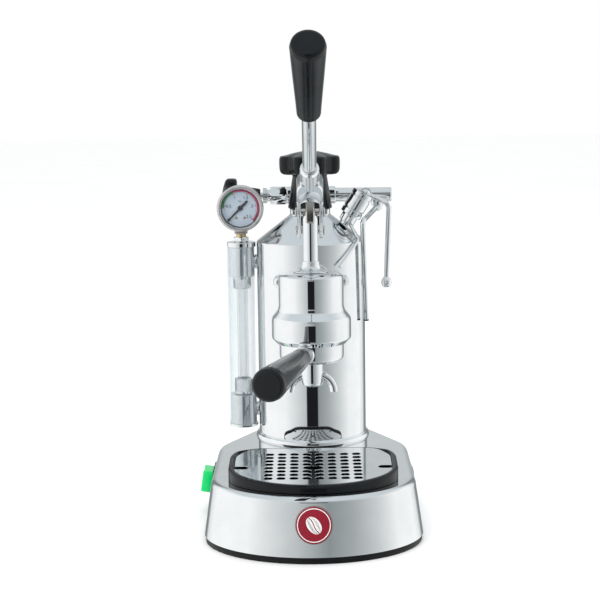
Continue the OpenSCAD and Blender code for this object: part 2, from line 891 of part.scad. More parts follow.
module piston_rod() {
    color("silver") difference() {
        union() {
            at_group() {
                translate([0, 0, 229.2]) cylinder(r = 5, h = 9);
                translate([0, 0, piston_z[1] + eps]) cylinder(r = rod_r, h = rod_top - piston_z[1]);
            }
            // Crosshead with the slot for the rod pin
            translate([-fork_gap / 2, slot_y[0] - 7.2, 288.5])
                cube([fork_gap, slot_y[1] - slot_y[0] + 14.4, 22]);
        }
        translate([0, 0, 298]) {
            for (y = slot_y) translate([0, y, 0]) bar_x(pin_r + 0.75, -20, 20);
            translate([-20, slot_y[0], -pin_r - 0.75])
                cube([40, slot_y[1] - slot_y[0], 2 * pin_r + 1.5]);
        }
    }
}

// --- lever ---

module lever_fork() {
    color("silver") in_lever() difference() {
        union() {
            for (s = [-1, 1]) translate([s * (fork_half + fork_gap) / 2, 0, 0]) {
                bar_x(7.5, -(fork_half - fork_gap) / 2, (fork_half - fork_gap) / 2);
                translate([-(fork_half - fork_gap) / 2, -crown_l[0], -6.5])
                    cube([fork_half - fork_gap, crown_l[0], 13]);
            }
            translate([-fork_half, -crown_l[1] + 6, -7.5])
                cube([2 * fork_half, crown_l[1] - 6 - crown_l[0] + eps, 15]);
            bar_y(8.6, -collar_l, -crown_l[1] + 12);
        }
        for (l = [0, pin_l]) translate([0, -l, 0]) bar_x(pin_r + 0.02, -20, 20);
        bar_y(6.02, -collar_l - 1, -crown_l[0] - 12);
    }
}

module fork_pins() {
    color("#b9b2a6") in_lever() for (l = [0, pin_l]) translate([0, -l, 0]) {
        bar_x(pin_r, -13.6, 13.6);
        for (s = [-1, 1]) translate([s * 12.8, 0, 0]) bar_x(4.4, -0.8, 0.8);
    }
}

module lever_rod() {
    color("silver") in_lever() bar_y(6, -245, -crown_l[0] - 14);
}

module lever_handle() {
    color("#17181a") in_lever() rotate([90, 0, 0]) difference() {
        rotate_extrude() polygon(concat([[0, handle_l]],
            [for (t = [0:15:90]) [6.4 + 3.6 * sin(t), handle_l + 3.6 - 3.6 * cos(t)]],
            [for (t = [0:15:90]) [12.2 + 2 * cos(t), lever_len - 2 + 2 * sin(t)]],
            [[0, lever_len + 0.4]]));
        translate([0, 0, handle_l - 1]) cylinder(r = 6.02, h = 246 - handle_l);
    }
}

// --- portafilter ---

module portafilter_body() {
    color("gainsboro") in_portafilter() difference() {
        union() {
            rotate_extrude() polygon([[0, 163], [26.2, 163], [28, 164], [29.1, 166.4],
                [29.4, 169], [29.4, 185.2], [0, 185.2]]);
            for (a = [0, 180]) rotate(a) intersection() {
                translate([0, -14, 182.15]) cube([60, 28, 3]);
                cylinder(r = 30.7, h = 300);
            }
            translate([0, 0, 172.4]) bar_y(6.7, -33, -26);
        }
        translate([0, 0, 166]) cylinder(r = 26.3, h = 40);
        translate([0, 0, 160]) cylinder(r = 4, h = 10);
        translate([0, 0, 172.4]) bar_y(3.05, -40, -27);
    }
}

module portafilter_basket() {
    color("silver") in_portafilter() difference() {
        rotate_extrude() polygon([[0, 167], [22.6, 167], [25.6, 171], [25.8, 185.22],
            [28.6, 185.22], [28.6, 186.2], [25, 186.2], [24.9, 171.2], [22.2, 167.8],
            [0, 167.8]]);
        for (k = [1:3], i = [0:6 * k - 1]) rotate(i * 60 / k) translate([k * 6.2, 0, 166])
            cylinder(r = 0.9, h = 4, $fn = 16);
    }
}

module portafilter_ferrule() {
    color("silver") in_portafilter() translate([0, 0, 172.4]) {
        bar_y(7, -41, -33.02);
        bar_y(3, -80, -27.5);
    }
}

module portafilter_handle() {
    color("#17181a") in_portafilter() translate([0, 0, 172.4]) rotate([90, 0, 0])
        difference() {
            rotate_extrude() polygon(concat([[0, 41.02]],
                [for (t = [0:15:90]) [6.2 + 2.6 * sin(t), 43.62 - 2.6 * cos(t)]],
                [for (t = [0:15:90]) [12.3 + 2 * cos(t), 163 + 2 * sin(t)]],
                [[0, 165.4]]));
            translate([0, 0, 40]) cylinder(r = 3.02, h = 41);
        }
}

module spout() {
    color("silver") at_group() difference() {
        union() {
            translate([0, 0, 140]) cylinder(r = 10, h = 22.98);
            translate([0, 0, 139]) cylinder(r1 = 8.4, r2 = 10, h = 1.02);
            for (s = [0, 180]) rotate(s) translate([3.8, 0, 133.6]) rotate([90, 0, 0])
                rotate_extrude(angle = 90) translate([16, 0]) circle(r = 3.7);
        }
        translate([0, 0, 146]) cylinder(r = 6, h = 30);
        for (s = [0, 180]) rotate(s) translate([3.8, 0, 133.6]) rotate([90, 0, 0])
            rotate_extrude(angle = 90) translate([16, 0]) circle(r = 2.3);
    }
}

base_shell();
base_pan();
base_screws();
drip_tray();
drip_grid();
badge();
switch_housing();
switch_rocker();
pilot_lamp();
cord_gland();
pressure_switch();
boiler_shell();
boiler_ring();
boiler_gasket();
boiler_nut();
heating_element();
cap_plug();
cap_seal();
cap_knob();
sight_top_fitting();
sight_bottom_fitting();
sight_glass();
sight_guard();
sight_nuts();
sight_seals();
gauge_stem();
gauge_case();
gauge_bezel();
gauge_dial();
gauge_needle();
gauge_lens();
valve_body();
valve_nut();
valve_stem();
steam_knob();
steam_wand();
steam_tip();
side_wand();
safety_valve();
safety_spring();
safety_ball();
discharge_tube();
group_body();
group_sleeve();
group_bolts();
group_gasket();
shower_screen();
rod_gland();
piston();
piston_seals();
piston_rod();
lever_fork();
fork_pins();
lever_rod();
lever_handle();
portafilter_body();
portafilter_basket();
portafilter_ferrule();
portafilter_handle();
spout();
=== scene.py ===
"""Looks of the lever espresso machine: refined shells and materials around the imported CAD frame."""
import json
from math import asin, atan, cos, degrees, hypot, pi, radians, sin, sqrt, tan

import bmesh
import bpy
from mathutils import Matrix, Vector


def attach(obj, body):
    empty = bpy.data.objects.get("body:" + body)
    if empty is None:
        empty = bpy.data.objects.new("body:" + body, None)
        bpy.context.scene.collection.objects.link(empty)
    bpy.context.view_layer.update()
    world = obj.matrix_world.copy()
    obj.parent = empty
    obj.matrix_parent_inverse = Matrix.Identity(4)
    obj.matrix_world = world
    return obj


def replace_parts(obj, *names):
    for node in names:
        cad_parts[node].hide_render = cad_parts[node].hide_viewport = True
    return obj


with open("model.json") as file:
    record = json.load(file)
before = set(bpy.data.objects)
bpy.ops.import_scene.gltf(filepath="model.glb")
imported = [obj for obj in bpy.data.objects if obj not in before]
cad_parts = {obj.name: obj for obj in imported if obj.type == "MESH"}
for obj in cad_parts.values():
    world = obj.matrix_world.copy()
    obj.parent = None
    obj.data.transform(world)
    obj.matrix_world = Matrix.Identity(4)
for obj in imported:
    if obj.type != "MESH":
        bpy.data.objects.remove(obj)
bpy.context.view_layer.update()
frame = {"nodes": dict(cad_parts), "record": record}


# --- mesh helpers; every measure below is in millimetres ---

SHARP = radians(32)
SCALE = Matrix.Scale(0.001, 4)
NO_TURN = Matrix.Identity(4)
SIDES = ((-1, "left"), (1, "right"))


def place(x=0.0, y=0.0, z=0.0):
    return Matrix.Translation((x, y, z))


def turn(angle, axis):
    return Matrix.Rotation(radians(angle), 4, axis)


def linked(name, data):
    """A new object in the scene."""
    thing = bpy.data.objects.new(name, data)
    bpy.context.scene.collection.objects.link(thing)
    return thing


def adopt(name, mesh, body, look, smooth=True):
    """Makes a piece of a mesh in metres, with outward faces and sharp edges kept sharp.

    A look is a material and the record's slot that it stands for.
    """
    bm = bmesh.new()
    bm.from_mesh(mesh)
    bmesh.ops.remove_doubles(bm, verts=bm.verts, dist=1e-6)
    bmesh.ops.recalc_face_normals(bm, faces=bm.faces)
    bm.to_mesh(mesh)
    bm.free()
    if smooth:
        mesh.shade_smooth()
        mesh.set_sharp_from_angle(angle=SHARP)
    piece = linked(name, mesh)
    mesh.materials.append(look[0])
    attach(piece, body)
    return piece


def new_piece(name, verts, faces, body, look, way=NO_TURN, smooth=True):
    mesh = bpy.data.meshes.new(name)
    way = SCALE @ way
    mesh.from_pydata([tuple(way @ Vector(v)) for v in verts], [], faces)
    mesh.validate()
    return adopt(name, mesh, body, look, smooth)


def apply_modifiers(piece):
    graph = bpy.context.evaluated_depsgraph_get()
    mesh = bpy.data.meshes.new_from_object(piece.evaluated_get(graph))
    piece.modifiers.clear()
    piece.data = mesh
    mesh.shade_smooth()
    mesh.set_sharp_from_angle(angle=SHARP)


def cut(piece, *cutters):
    """Takes the cutters out of the piece, and removes them."""
    for cutter in cutters:
        mod = piece.modifiers.new("cut", "BOOLEAN")
        mod.operation, mod.solver, mod.object = "DIFFERENCE", "EXACT", cutter
    apply_modifiers(piece)
    for cutter in cutters:
        bpy.data.objects.remove(cutter)


def bevel(piece, width, segments=3, angle=30):
    mod = piece.modifiers.new("bevel", "BEVEL")
    mod.width, mod.segments, mod.limit_method = width * 0.001, segments, "ANGLE"
    mod.angle_limit = radians(angle)
    apply_modifiers(piece)


def arc_corner(a, b, c, radius, steps):
    """Points of a smooth turn at b between a and c."""
    u, v = a - b, c - b
    if radius <= 0 or u.length < 1e-6 or v.length < 1e-6 or u.angle(v) > radians(176):
        return [b]
    reach = min(radius / tan(u.angle(v) / 2), u.length * 0.48, v.length * 0.48)
    p, q = b + u.normalized() * reach, b + v.normalized() * reach
    return [p * (1 - t) ** 2 + b * 2 * t * (1 - t) + q * t ** 2
        for t in (k / steps for k in range(steps + 1))]


def rounded(points, radius, steps=5):
    """The route with its inner corners turned into curves; radius may be a list, one a corner."""
    points = [Vector(p) for p in points]
    out = [points[0]]
    for i in range(1, len(points) - 1):
        rad = radius[i - 1] if isinstance(radius, (list, tuple)) else radius
        out += arc_corner(points[i - 1], points[i], points[i + 1], rad, steps)
    return out + [points[-1]]


def lofted(name, rows, body, look, way=NO_TURN, ends=True, loop=False):
    """A skin over rings of the same number of points."""
    n = len(rows[0])
    verts = [v for row in rows for v in row]
    faces = []
    for i in range(len(rows) if loop else len(rows) - 1):
        j = (i + 1) % len(rows)
        faces += [[i * n + k, i * n + (k + 1) % n, j * n + (k + 1) % n, j * n + k]
            for k in range(n)]
    if ends and not loop:
        faces += [list(range(n))[::-1], list(range(len(verts) - n, len(verts)))]
    return new_piece(name, verts, faces, body, look, way)


def held(outline, loop, near=0.4):
    """Points close to both ends of each long straight run, which keep its shading flat."""
    out = []
    for k, (r, z) in enumerate(outline):
        out.append((r, z))
        if k + 1 == len(outline) and not loop:
            break
        to_r, to_z = outline[(k + 1) % len(outline)]
        span = hypot(to_r - r, to_z - z)
        if span > 5 * near:
            out += [(r + (to_r - r) * share, z + (to_z - z) * share)
                for share in (near / span, 1 - near / span)]
    return out


def lathe(name, outline, body, look, way=NO_TURN, steps=96, loop=False):
    """The (r, h) outline turned about the local Z. An end on the axis closes the form."""
    outline = held([(max(p[0], 0.0), p[1]) for p in outline], loop)
    rows = [[(r * cos(2 * pi * k / steps), r * sin(2 * pi * k / steps), h) for k in range(steps)]
        for r, h in outline]
    return lofted(name, rows, body, look, way, loop=loop)


def turned(name, points, radius, body, look, way=NO_TURN, steps=96, loop=False):
    """A lathed piece whose outline has rounded corners."""
    return lathe(name, rounded(points, radius), body, look, way, steps, loop)


def chromed(name, points, radius, way=NO_TURN, steps=96, loop=True):
    """A turned piece of the machine's own chrome, hollow by default."""
    return turned(name, points, radius, "machine", CHROME, way, steps, loop)


def prism(name, outline, low, high, body, look, way=NO_TURN):
    rows = [[(p[0], p[1], z) for p in outline] for z in (low, high)]
    return lofted(name, rows, body, look, way)


def circle(radius, steps=48):
    return [(radius * cos(2 * pi * k / steps), radius * sin(2 * pi * k / steps))
        for k in range(steps)]


def sheet_rings(name, rings, low, high, chamfer, body, look, lift=None):
    """A flat plate with chamfered edges; its outline runs anticlockwise and its holes clockwise."""
    bm = bmesh.new()
    lift = lift or (lambda x, y, z: (x, y, z))

    def moved(ring):
        out, n = [], len(ring)
        for k in range(n):
            a, b, c = (Vector(ring[(k + d) % n]) for d in (-1, 0, 1))
            way = (c - a).normalized()
            out.append(b + Vector((-way.y, way.x)) * chamfer)
        return out

    for z in (high, low):
        edges = []
        for ring in rings:
            verts = [bm.verts.new(lift(p.x, p.y, z)) for p in moved(ring)]
            edges += [bm.edges.new((verts[k - 1], verts[k])) for k in range(len(verts))]
        bmesh.ops.triangle_fill(bm, edges=edges, use_beauty=True)
    for ring in rings:
        flat, edge = moved(ring), [Vector(p) for p in ring]
        rows = ((flat, high), (edge, high - chamfer), (edge, low + chamfer), (flat, low))
        verts = [[bm.verts.new(lift(p.x, p.y, z)) for p in row] for row, z in rows]
        for a, b in zip(verts, verts[1:]):
            for k in range(len(a)):
                bm.faces.new((a[k - 1], a[k], b[k], b[k - 1]))
    mesh = bpy.data.meshes.new(name)
    for v in bm.verts:
        v.co *= 0.001
    bm.to_mesh(mesh)
    bm.free()
    return adopt(name, mesh, body, look)


def nut(name, flats, height, body, look, way=NO_TURN, bore=0.0, chamfer=0.8, spin=0.0):
    """A hexagon nut with the round chamfer of a turned one."""
    corner, n = flats / sqrt(3), 96
    sixth = pi / 3
    rows = []
    for z, cap in ((0, flats / 2 * 0.97), (chamfer, corner), (height - chamfer, corner),
            (height, flats / 2 * 0.97)):
        row = []
        for k in range(n):
            t = 2 * pi * k / n
            side = (flats / 2) / cos((t + sixth / 2) % sixth - sixth / 2)
            r = min(side, cap)
            row.append((r * cos(t + spin), r * sin(t + spin), z))
        rows.append(row)
    if bore:
        ring = circle(bore, n)
        rows += [[(x, y, height) for x, y in ring], [(x, y, 0) for x, y in ring]]
        return lofted(name, rows, body, look, way, loop=True)
    return lofted(name, rows, body, look, way)


def pipe(name, route, radius, body, look, sides=28, bore=0.0, way=NO_TURN):
    """A round tube along the route, with a bore at its far end."""
    route = [Vector(p) for p in route]
    rows, ref = [], None
    for i, p in enumerate(route):
        ahead = (route[min(i + 1, len(route) - 1)] - route[max(i - 1, 0)]).normalized()
        if ref is None:
            ref = Vector((0, 1, 0)) if abs(ahead.y) < 0.9 else Vector((1, 0, 0))
        x = ref.cross(ahead).normalized()
        y = ahead.cross(x)
        ref = y
        rows.append([p + (x * cos(2 * pi * k / sides) + y * sin(2 * pi * k / sides)) * radius
            for k in range(sides)])
    if bore:
        end = route[-1]
        for back in (0.0, 3 * bore):
            rows.append([end - ahead * back + (v - end).normalized() * bore
                for v in rows[len(route) - 1]])
    return lofted(name, rows, body, look, way)


def arc(centre, radius, angles):
    """Points of an oval's arc at the given degrees; centre and radius are (x, y)."""
    return [(centre[0] + radius[0] * cos(radians(t)), centre[1] + radius[1] * sin(radians(t)))
        for t in angles]


def mirrored(points):
    """The points on the other side of x = 0, in the order that closes an outline."""
    return [(-x, y) for x, y in points[::-1]]


def lobed(radius, lobe, count, t, phase):
    """Distance of a lobed knob's edge at the angle t."""
    step = 2 * pi / count
    a = (t - phase + step / 2) % step - step / 2
    centre = radius - lobe
    reach = centre * sin(a)
    if abs(reach) < lobe:
        tip = centre * cos(a) + sqrt(lobe * lobe - reach * reach)
    else:
        tip = 0.0
    waist = radius - lobe * 0.62
    return max(tip, waist)


def lobed_knob(name, radius, lobe, count, rows, body, look, way, phase=0.0):
    """A knob of lobes; rows are (inset, z), and the lobes fade where the inset is large."""
    n = 288
    edge = [lobed(radius, lobe, count, 2 * pi * k / n, phase) for k in range(n)]
    for _ in range(6):
        edge = [(edge[k - 1] + 2 * edge[k] + edge[(k + 1) % n]) / 4 for k in range(n)]
    mean = sum(edge) / n
    skins = []
    for inset, z in rows:
        fade = max(0.0, 1 - max(0.0, inset - 1.5) / (radius * 0.45))
        reach = [max(mean + (e - mean) * fade - inset, 0.02) for e in edge]
        skins.append([(r * cos(2 * pi * k / n), r * sin(2 * pi * k / n), z) for k,
            r in enumerate(reach)])
    return lofted(name, skins, body, look, way)


# --- materials ---

def nodes_of(name):
    material = bpy.data.materials.new(name)
    material.use_nodes = True
    tree = material.node_tree
    return material, tree, tree.nodes["Principled BSDF"]


def link(tree, a, out, b, to):
    tree.links.new(a.outputs[out], b.inputs[to])


def add(tree, kind, values=None, **settings):
    """A new shader node with its settings, and a value for each input named."""
    node = tree.nodes.new("ShaderNode" + kind)
    for key, value in settings.items():
        setattr(node, key, value)
    for socket, value in (values or {}).items():
        node.inputs[socket].default_value = value
    return node


def noise(tree, scale, detail=4.0, rough=0.55):
    texture = add(tree, "TexNoise", {"Scale": scale, "Detail": detail, "Roughness": rough})
    link(tree, add(tree, "TexCoord"), "Object", texture, "Vector")
    return texture


def map_range(tree, source, out, low, high, to_low=0.0, to_high=1.0):
    """Maps a node's output from one range onto another."""
    node = add(tree, "MapRange", {"From Min": low, "From Max": high, "To Min": to_low,
        "To Max": to_high})
    link(tree, source, out, node, "Value")
    return node


def vary(tree, source, low, high, shader):
    """Roughness between two values, by a texture's middle range."""
    link(tree, map_range(tree, source, "Fac", 0.3, 0.7, low, high), "Result", shader, "Roughness")


def ramp(tree, stops, colour):
    """A colour ramp from (position, value) stops."""
    node = add(tree, "ValToRGB")
    elements = node.color_ramp.elements
    for position, _ in stops[1:-1]:
        elements.new(position)
    for (position, value), stop in zip(stops, elements):
        stop.position, stop.color = position, colour(value)
    return node


def tint(tree, source, low, high, shader):
    """Mixes two close colours by a texture into the base colour."""
    mixed = ramp(tree, ((0.32, low), (0.68, high)), lambda colour: (*colour, 1))
    link(tree, source, "Fac", mixed, "Fac")
    link(tree, mixed, "Color", shader, "Base Color")


def bump(tree, source, strength, distance, shader):
    relief = add(tree, "Bump", {"Strength": strength, "Distance": distance})
    link(tree, source, "Fac", relief, "Height")
    link(tree, relief, "Normal", shader, "Normal")


def metal(name, low, high, rough, relief, slot=None):
    material, tree, shader = nodes_of(name)
    shader.inputs["Metallic"].default_value = 1.0
    haze = noise(tree, 40.0, 5.0, 0.6)
    tint(tree, haze, low, high, shader)
    vary(tree, haze, *rough, shader)
    bump(tree, noise(tree, 480.0, 3.0, 0.5), relief, 0.00002, shader)
    return material, slot or name


def plastic(name, low, high, rough, relief, scale=900.0, coat=0.0, sheen=0.3, slot=None):
    material, tree, shader = nodes_of(name)
    shader.inputs["Specular IOR Level"].default_value = sheen
    haze = noise(tree, 35.0, 4.0)
    tint(tree, haze, low, high, shader)
    vary(tree, haze, *rough, shader)
    shader.inputs["Coat Weight"].default_value = coat
    shader.inputs["Coat Roughness"].default_value = 0.05
    bump(tree, noise(tree, scale, 2.0), relief, 0.0001, shader)
    return material, slot or name


def glass(name, colour, clear, rough=0.02):
    """Thin clear wall: mostly see-through, with a sheen at the edges."""
    material, tree, shader = nodes_of(name)
    vary(tree, noise(tree, 60.0, 3.0), rough, rough * 2.5, shader)
    shader.inputs["Base Color"].default_value = (*colour, 1)
    shader.inputs["IOR"].default_value = 1.45
    edge = add(tree, "LayerWeight", {"Blend": 0.28})
    link(tree, map_range(tree, edge, "Facing", 0, 1, *clear), "Result", shader, "Alpha")
    return material, "clear_glass"


CHROME = metal("polished_chrome", (0.78, 0.80, 0.81), (0.84, 0.855, 0.86), (0.015, 0.045), 0.03)
STEEL = metal("stainless", (0.60, 0.61, 0.62), (0.72, 0.73, 0.735), (0.16, 0.28), 0.12)
SATIN = metal("satin_bezel", (0.62, 0.60, 0.59), (0.74, 0.72, 0.71), (0.20, 0.32), 0.12,
    "stainless")
MIRROR_SHEET = metal("grid_sheet", (0.74, 0.76, 0.77), (0.82, 0.835, 0.84), (0.04, 0.09), 0.06,
    "stainless")
BRASS = metal("brass", (0.62, 0.47, 0.24), (0.72, 0.57, 0.32), (0.18, 0.34), 0.1)
PIN_METAL = metal("pin_metal", (0.52, 0.50, 0.47), (0.62, 0.60, 0.57), (0.12, 0.24), 0.1,
    "stainless")
BAKELITE = plastic("black_gloss", (0.004, 0.005, 0.006), (0.008, 0.009, 0.011), (0.12, 0.20), 0.03,
    500, 0.16, 0.18)
BLACK = plastic("black_plastic", (0.005, 0.005, 0.006), (0.010, 0.010, 0.011), (0.30, 0.42), 0.10,
    900, 0, 0.2)
RUBBER = plastic("black_rubber", (0.02, 0.02, 0.02), (0.035, 0.035, 0.035), (0.6, 0.75), 0.3)
GREEN = plastic("green_rocker", (0.0, 0.66, 0.15), (0.008, 0.78, 0.20), (0.14, 0.22), 0.02, 500,
    0.3)
LAMP = plastic("lamp_red", (0.10, 0.006, 0.006), (0.16, 0.01, 0.01), (0.08, 0.14), 0.03, 400, 0.5)
ENAMEL = plastic("badge_red", (0.200, 0.004, 0.016), (0.245, 0.007, 0.022), (0.12, 0.18), 0.02, 300,
    0.2, 0.3)
CREAM = plastic("badge_cream", (0.74, 0.74, 0.72), (0.82, 0.82, 0.80), (0.2, 0.28), 0.05, 500, 0.1,
    slot="badge_red")
DIAL = plastic("dial_grey", (0.40, 0.48, 0.56), (0.45, 0.53, 0.61), (0.40, 0.55), 0.04, 700)
INK = plastic("ink_dark", (0.012, 0.016, 0.022), (0.02, 0.026, 0.035), (0.3, 0.45), 0.03, 500, 0,
    0.2, "needle_black")
ARC_GREEN = plastic("arc_green", (0.010, 0.17, 0.035), (0.02, 0.22, 0.055), (0.35, 0.45), 0.03, 500,
    slot="dial_grey")
ARC_RED = plastic("arc_red", (0.36, 0.004, 0.06), (0.44, 0.010, 0.09), (0.35, 0.45), 0.03, 500,
    slot="dial_grey")
CLEAR = glass("clear_guard", (0.66, 0.76, 0.80), (0.10, 0.60))
LENS = glass("clear_lens", (0.95, 0.98, 1.0), (0.02, 0.30), 0.01)

BADGE_STEEL, SHAFT_METAL = (STEEL[0], "badge_red"), (PIN_METAL[0], "polished_chrome")
CHROMED_BRASS, SATIN_BRASS = (CHROME[0], "brass"), (SATIN[0], "brass")
NODE_MATERIALS = {slot: material for material,
    slot in (STEEL, CHROME, BLACK, BAKELITE, RUBBER, BRASS, CLEAR, GREEN, LAMP, ENAMEL, DIAL, INK)}


def dress_nodes():
    """Every CAD node gets the procedural material of its slot."""
    for part in frame["record"]["subparts"]:
        node = frame["nodes"][part["node"]]
        node.data.materials.clear()
        node.data.materials.append(NODE_MATERIALS[part["material_slot"]])


dress_nodes()


# --- base ---

FRONT_Y = -107  # centre of the base's round front
BASE_TOP, EDGE_R, LEAN = 57.0, 6.0, 6.5
BADGE_Z = 34
GRID_ROW, GRID_X, GRID_Y = -75.5, 11.5, 9.2  # first row, and the steps between holes


def chaikin(points, times):
    """Rounds the corners of a closed outline by cutting them."""
    for _ in range(times):
        sides = [(points[k - 1], b, points[(k + 1) % len(points)]) for k, b in enumerate(points)]
        points = [q for a, b, c in sides for q in ((a[0] * 0.25 + b[0] * 0.75,
            a[1] * 0.25 + b[1] * 0.75), (b[0] * 0.75 + c[0] * 0.25, b[1] * 0.75 + c[1] * 0.25))]
    return points


def base_outline(inset):
    """The base's outline in plan, moved in by inset."""
    a, b = 100 - inset, 77 - inset
    corner_x, corner_y, bulge = 60 - inset * 0.75, 97 - inset * 0.8, 11
    bow = (corner_x ** 2 + bulge ** 2) / (2 * bulge)
    spread = degrees(asin(corner_x / bow))
    front = arc((0, FRONT_Y), (a, b), range(180, 361, 3))
    side = [(a, -70), (a, -40), (a, -12), (a, 4), (a - 1.2, 14), (a - 4, 23),
        (corner_x + 4.5, corner_y - 8), (corner_x + 1, corner_y - 2)]
    back = []
    for k in range(13):
        t = radians(spread - 4 - (2 * spread - 8) * k / 12)
        back.append((bow * sin(t), corner_y + bulge - bow * (1 - cos(t))))
    return chaikin(front + side + back + mirrored(side), 2)


def tray_outline(grow, back):
    """The drip tray's outline in plan, grown by grow, and by back at its rear edge."""
    front = arc((0, -112), (72 + grow, 48 + grow), range(180, 361, 4))
    right = arc((48, -85.5), (24 + grow, 28 + back), range(0, 91, 6))
    return front + right + mirrored(right)


def grid_z(y):
    """Height of the drip grid's sloping plane."""
    return 71.4 + (y + 57.5) * tan(radians(4.6))


def wall_inset(z):
    return LEAN * (z - 6) / (BASE_TOP - EDGE_R - 6)


def make_base():
    rows = [[(x, y, z) for x, y in base_outline(wall_inset(z))]
        for z in (6, 20, 36, BASE_TOP - EDGE_R)]
    for t in range(10, 91, 10):
        inset = LEAN + EDGE_R * (1 - cos(radians(t)))
        z = BASE_TOP - EDGE_R + EDGE_R * sin(radians(t))
        rows.append([(x, y, z) for x, y in base_outline(inset)])
    rows.append([(x, y, BASE_TOP) for x, y in base_outline(LEAN + EDGE_R + 0.6)])
    shell = lofted("base_cover", rows, "machine", CHROME, ends=False)
    bm = bmesh.new()
    bm.from_mesh(shell.data)
    rim = [e for e in bm.edges if e.is_boundary and e.verts[0].co.z > 0.05]
    rings = (tray_outline(-1.2, -1.2), circle(28.5, 72))
    for ring in rings:
        verts = [bm.verts.new((x * 0.001, y * 0.001, BASE_TOP * 0.001)) for x, y in ring]
        rim += [bm.edges.new((verts[k - 1], verts[k])) for k in range(len(verts))]
    bmesh.ops.triangle_fill(bm, edges=rim, use_beauty=True, normal=(0, 0, 1))
    bmesh.ops.recalc_face_normals(bm, faces=bm.faces)
    if max(bm.faces, key=lambda f: f.calc_center_median().z).normal.z < 0:
        bmesh.ops.reverse_faces(bm, faces=bm.faces)
    bm.to_mesh(shell.data)
    bm.free()
    mod = shell.modifiers.new("wall", "SOLIDIFY")
    mod.thickness, mod.offset = 0.0016, -1.0
    apply_modifiers(shell)
    left, right = wall_way(-1, -14, 30), wall_way(1, -8, 33)
    box = [(-15.6, -11.1), (15.6, -11.1), (15.6, 11.1), (-15.6, 11.1)]
    cut(shell, prism("cutter_a", box, -8, 8, "machine", CHROME, left),
        prism("cutter_b", circle(6.5), -8, 8, "machine", CHROME, right),
        prism("cutter_c", circle(7.3), -20, 20, "machine", CHROME,
        place(30, 104, 26) @ turn(90, "X")))
    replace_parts(shell, "base_shell")
    skirt = [[(x, y, z) for x, y in base_outline(inset)] for inset,
        z in ((7, 0.0), (1.9, 0.0), (1.3, 0.8), (1.2, 1.6), (1.2, 5.0), (1.6, 5.7), (2.6, 5.9),
        (7, 5.9))]
    lofted("base_foot", skirt, "machine", BLACK, loop=True)


def wall_way(side, y, z):
    """On the side wall: local Z points out of it, local X runs along Y, local Y up the wall."""
    lean = degrees(atan(LEAN / (BASE_TOP - EDGE_R - 6)))
    at = place(side * (100 - wall_inset(z)), y, z)
    return at @ turn(-side * lean, "Y") @ turn(side * 90, "Y") @ turn(side * 90, "Z")


def make_tray():
    def rim(y):
        share = min(1.0, max(0.0, (-58.5 - y) / 12))
        return 0.1 + 1.5 * share * share * (3 - 2 * share)

    rows = [((5.2, 0), lambda y: 57.35)]
    for t in range(0, 91, 18):
        c, s = 1 - cos(radians(t)), sin(radians(t))
        rows.append(((5.2 - 2.3 * c, -0.1 * c), lambda y, s=s: grid_z(y) + rim(y) - 2.3 * (1 - s)))
    for t in range(0, 91, 30):
        c, s = cos(radians(t)), sin(radians(t))
        rows.append(((0.35 + 0.8 * (1 - s), -0.3 - 0.1 * s), lambda y,
            c=c: grid_z(y) + rim(y) - 0.8 * (1 - c)))
    rows += [((0.35, -0.45), lambda y: grid_z(y) - 1.35),
        ((-2.2, -2.7), lambda y: grid_z(y) - 1.35), ((-2.2, -2.7), lambda y: 59.0),
        ((-3.6, -3.6), lambda y: 58.0), ((-3.6, -3.6), lambda y: 27.0),
        ((-5.2, -5.2), lambda y: 24.4), ((-9, -9), lambda y: 24.0)]
    rows += [((-8.5, -8.5), lambda y: 22.0), ((-4.0, -4.0), lambda y: 22.4),
        ((-1.7, -1.7), lambda y: 25.4), ((-1.7, -1.7), lambda y: 57.1)]
    skins = [[(x, y, height(y)) for x, y in tray_outline(*grown)] for grown, height in rows]
    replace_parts(lofted("tray_rim", skins, "drip_tray", BAKELITE, loop=True), "drip_tray")
    floor = [[(x, y, z) for x, y in tray_outline(g, g)] for g,
        z in ((-8.6, 23.9), (-8.8, 22.1), (-30, 22.0), (-30, 23.8))]
    lofted("tray_floor", floor, "drip_tray", BAKELITE, loop=True)
    prism("tray_middle", tray_outline(-29.9, -27), 22.05, 23.75, "drip_tray", BAKELITE)


def slot_hole(x, y, half, flat, steps=7):
    """A hole ring with round ends and flat sides, turned the other way from the outline."""
    reach = asin(flat / half)
    ring = [(x + half * cos(a), y + half * sin(a))
        for a in (-reach + 2 * reach * k / steps for k in range(steps + 1))]
    return (ring + [(2 * x - u, 2 * y - v) for u, v in ring])[::-1]


def make_grid():
    rings = [add_notches(tray_outline(-0.15, -0.6))]
    for i in range(8):
        for j in range(8):
            if not (i in (3, 4) and j == 4):
                rings.append(slot_hole((i - 3.5) * GRID_X, GRID_ROW - j * GRID_Y, 4.0, 3.2))
    oval = arc((5, -112.3), (4.2, 4.2), range(-90, 91, 15))
    rings.append((oval + mirrored(oval))[::-1])
    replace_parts(sheet_rings("grid_plate", rings, -1.2, 0.0, 0.22, "drip_grid", MIRROR_SHEET,
        lambda x, y, z: (x, y, grid_z(y) + z)), "drip_grid")


def add_notches(outline):
    """Cuts a round-ended notch into each side of the grid at y = -111."""
    out, done = [], set()
    for x, y in outline:
        if abs(y + 111) >= 4.2 or abs(x) < 60:
            out.append((x, y))
            continue
        side = 1 if x > 0 else -1
        if side not in done:
            done.add(side)
            notch = arc((side * 63.0, -111), (-4 * side, 4), [-90 + 22.5 * k for k in range(9)])
            ring = [(side * 71.7, -115)] + notch + [(side * 71.7, -107)]
            out += ring if side > 0 else ring[::-1]
    return out


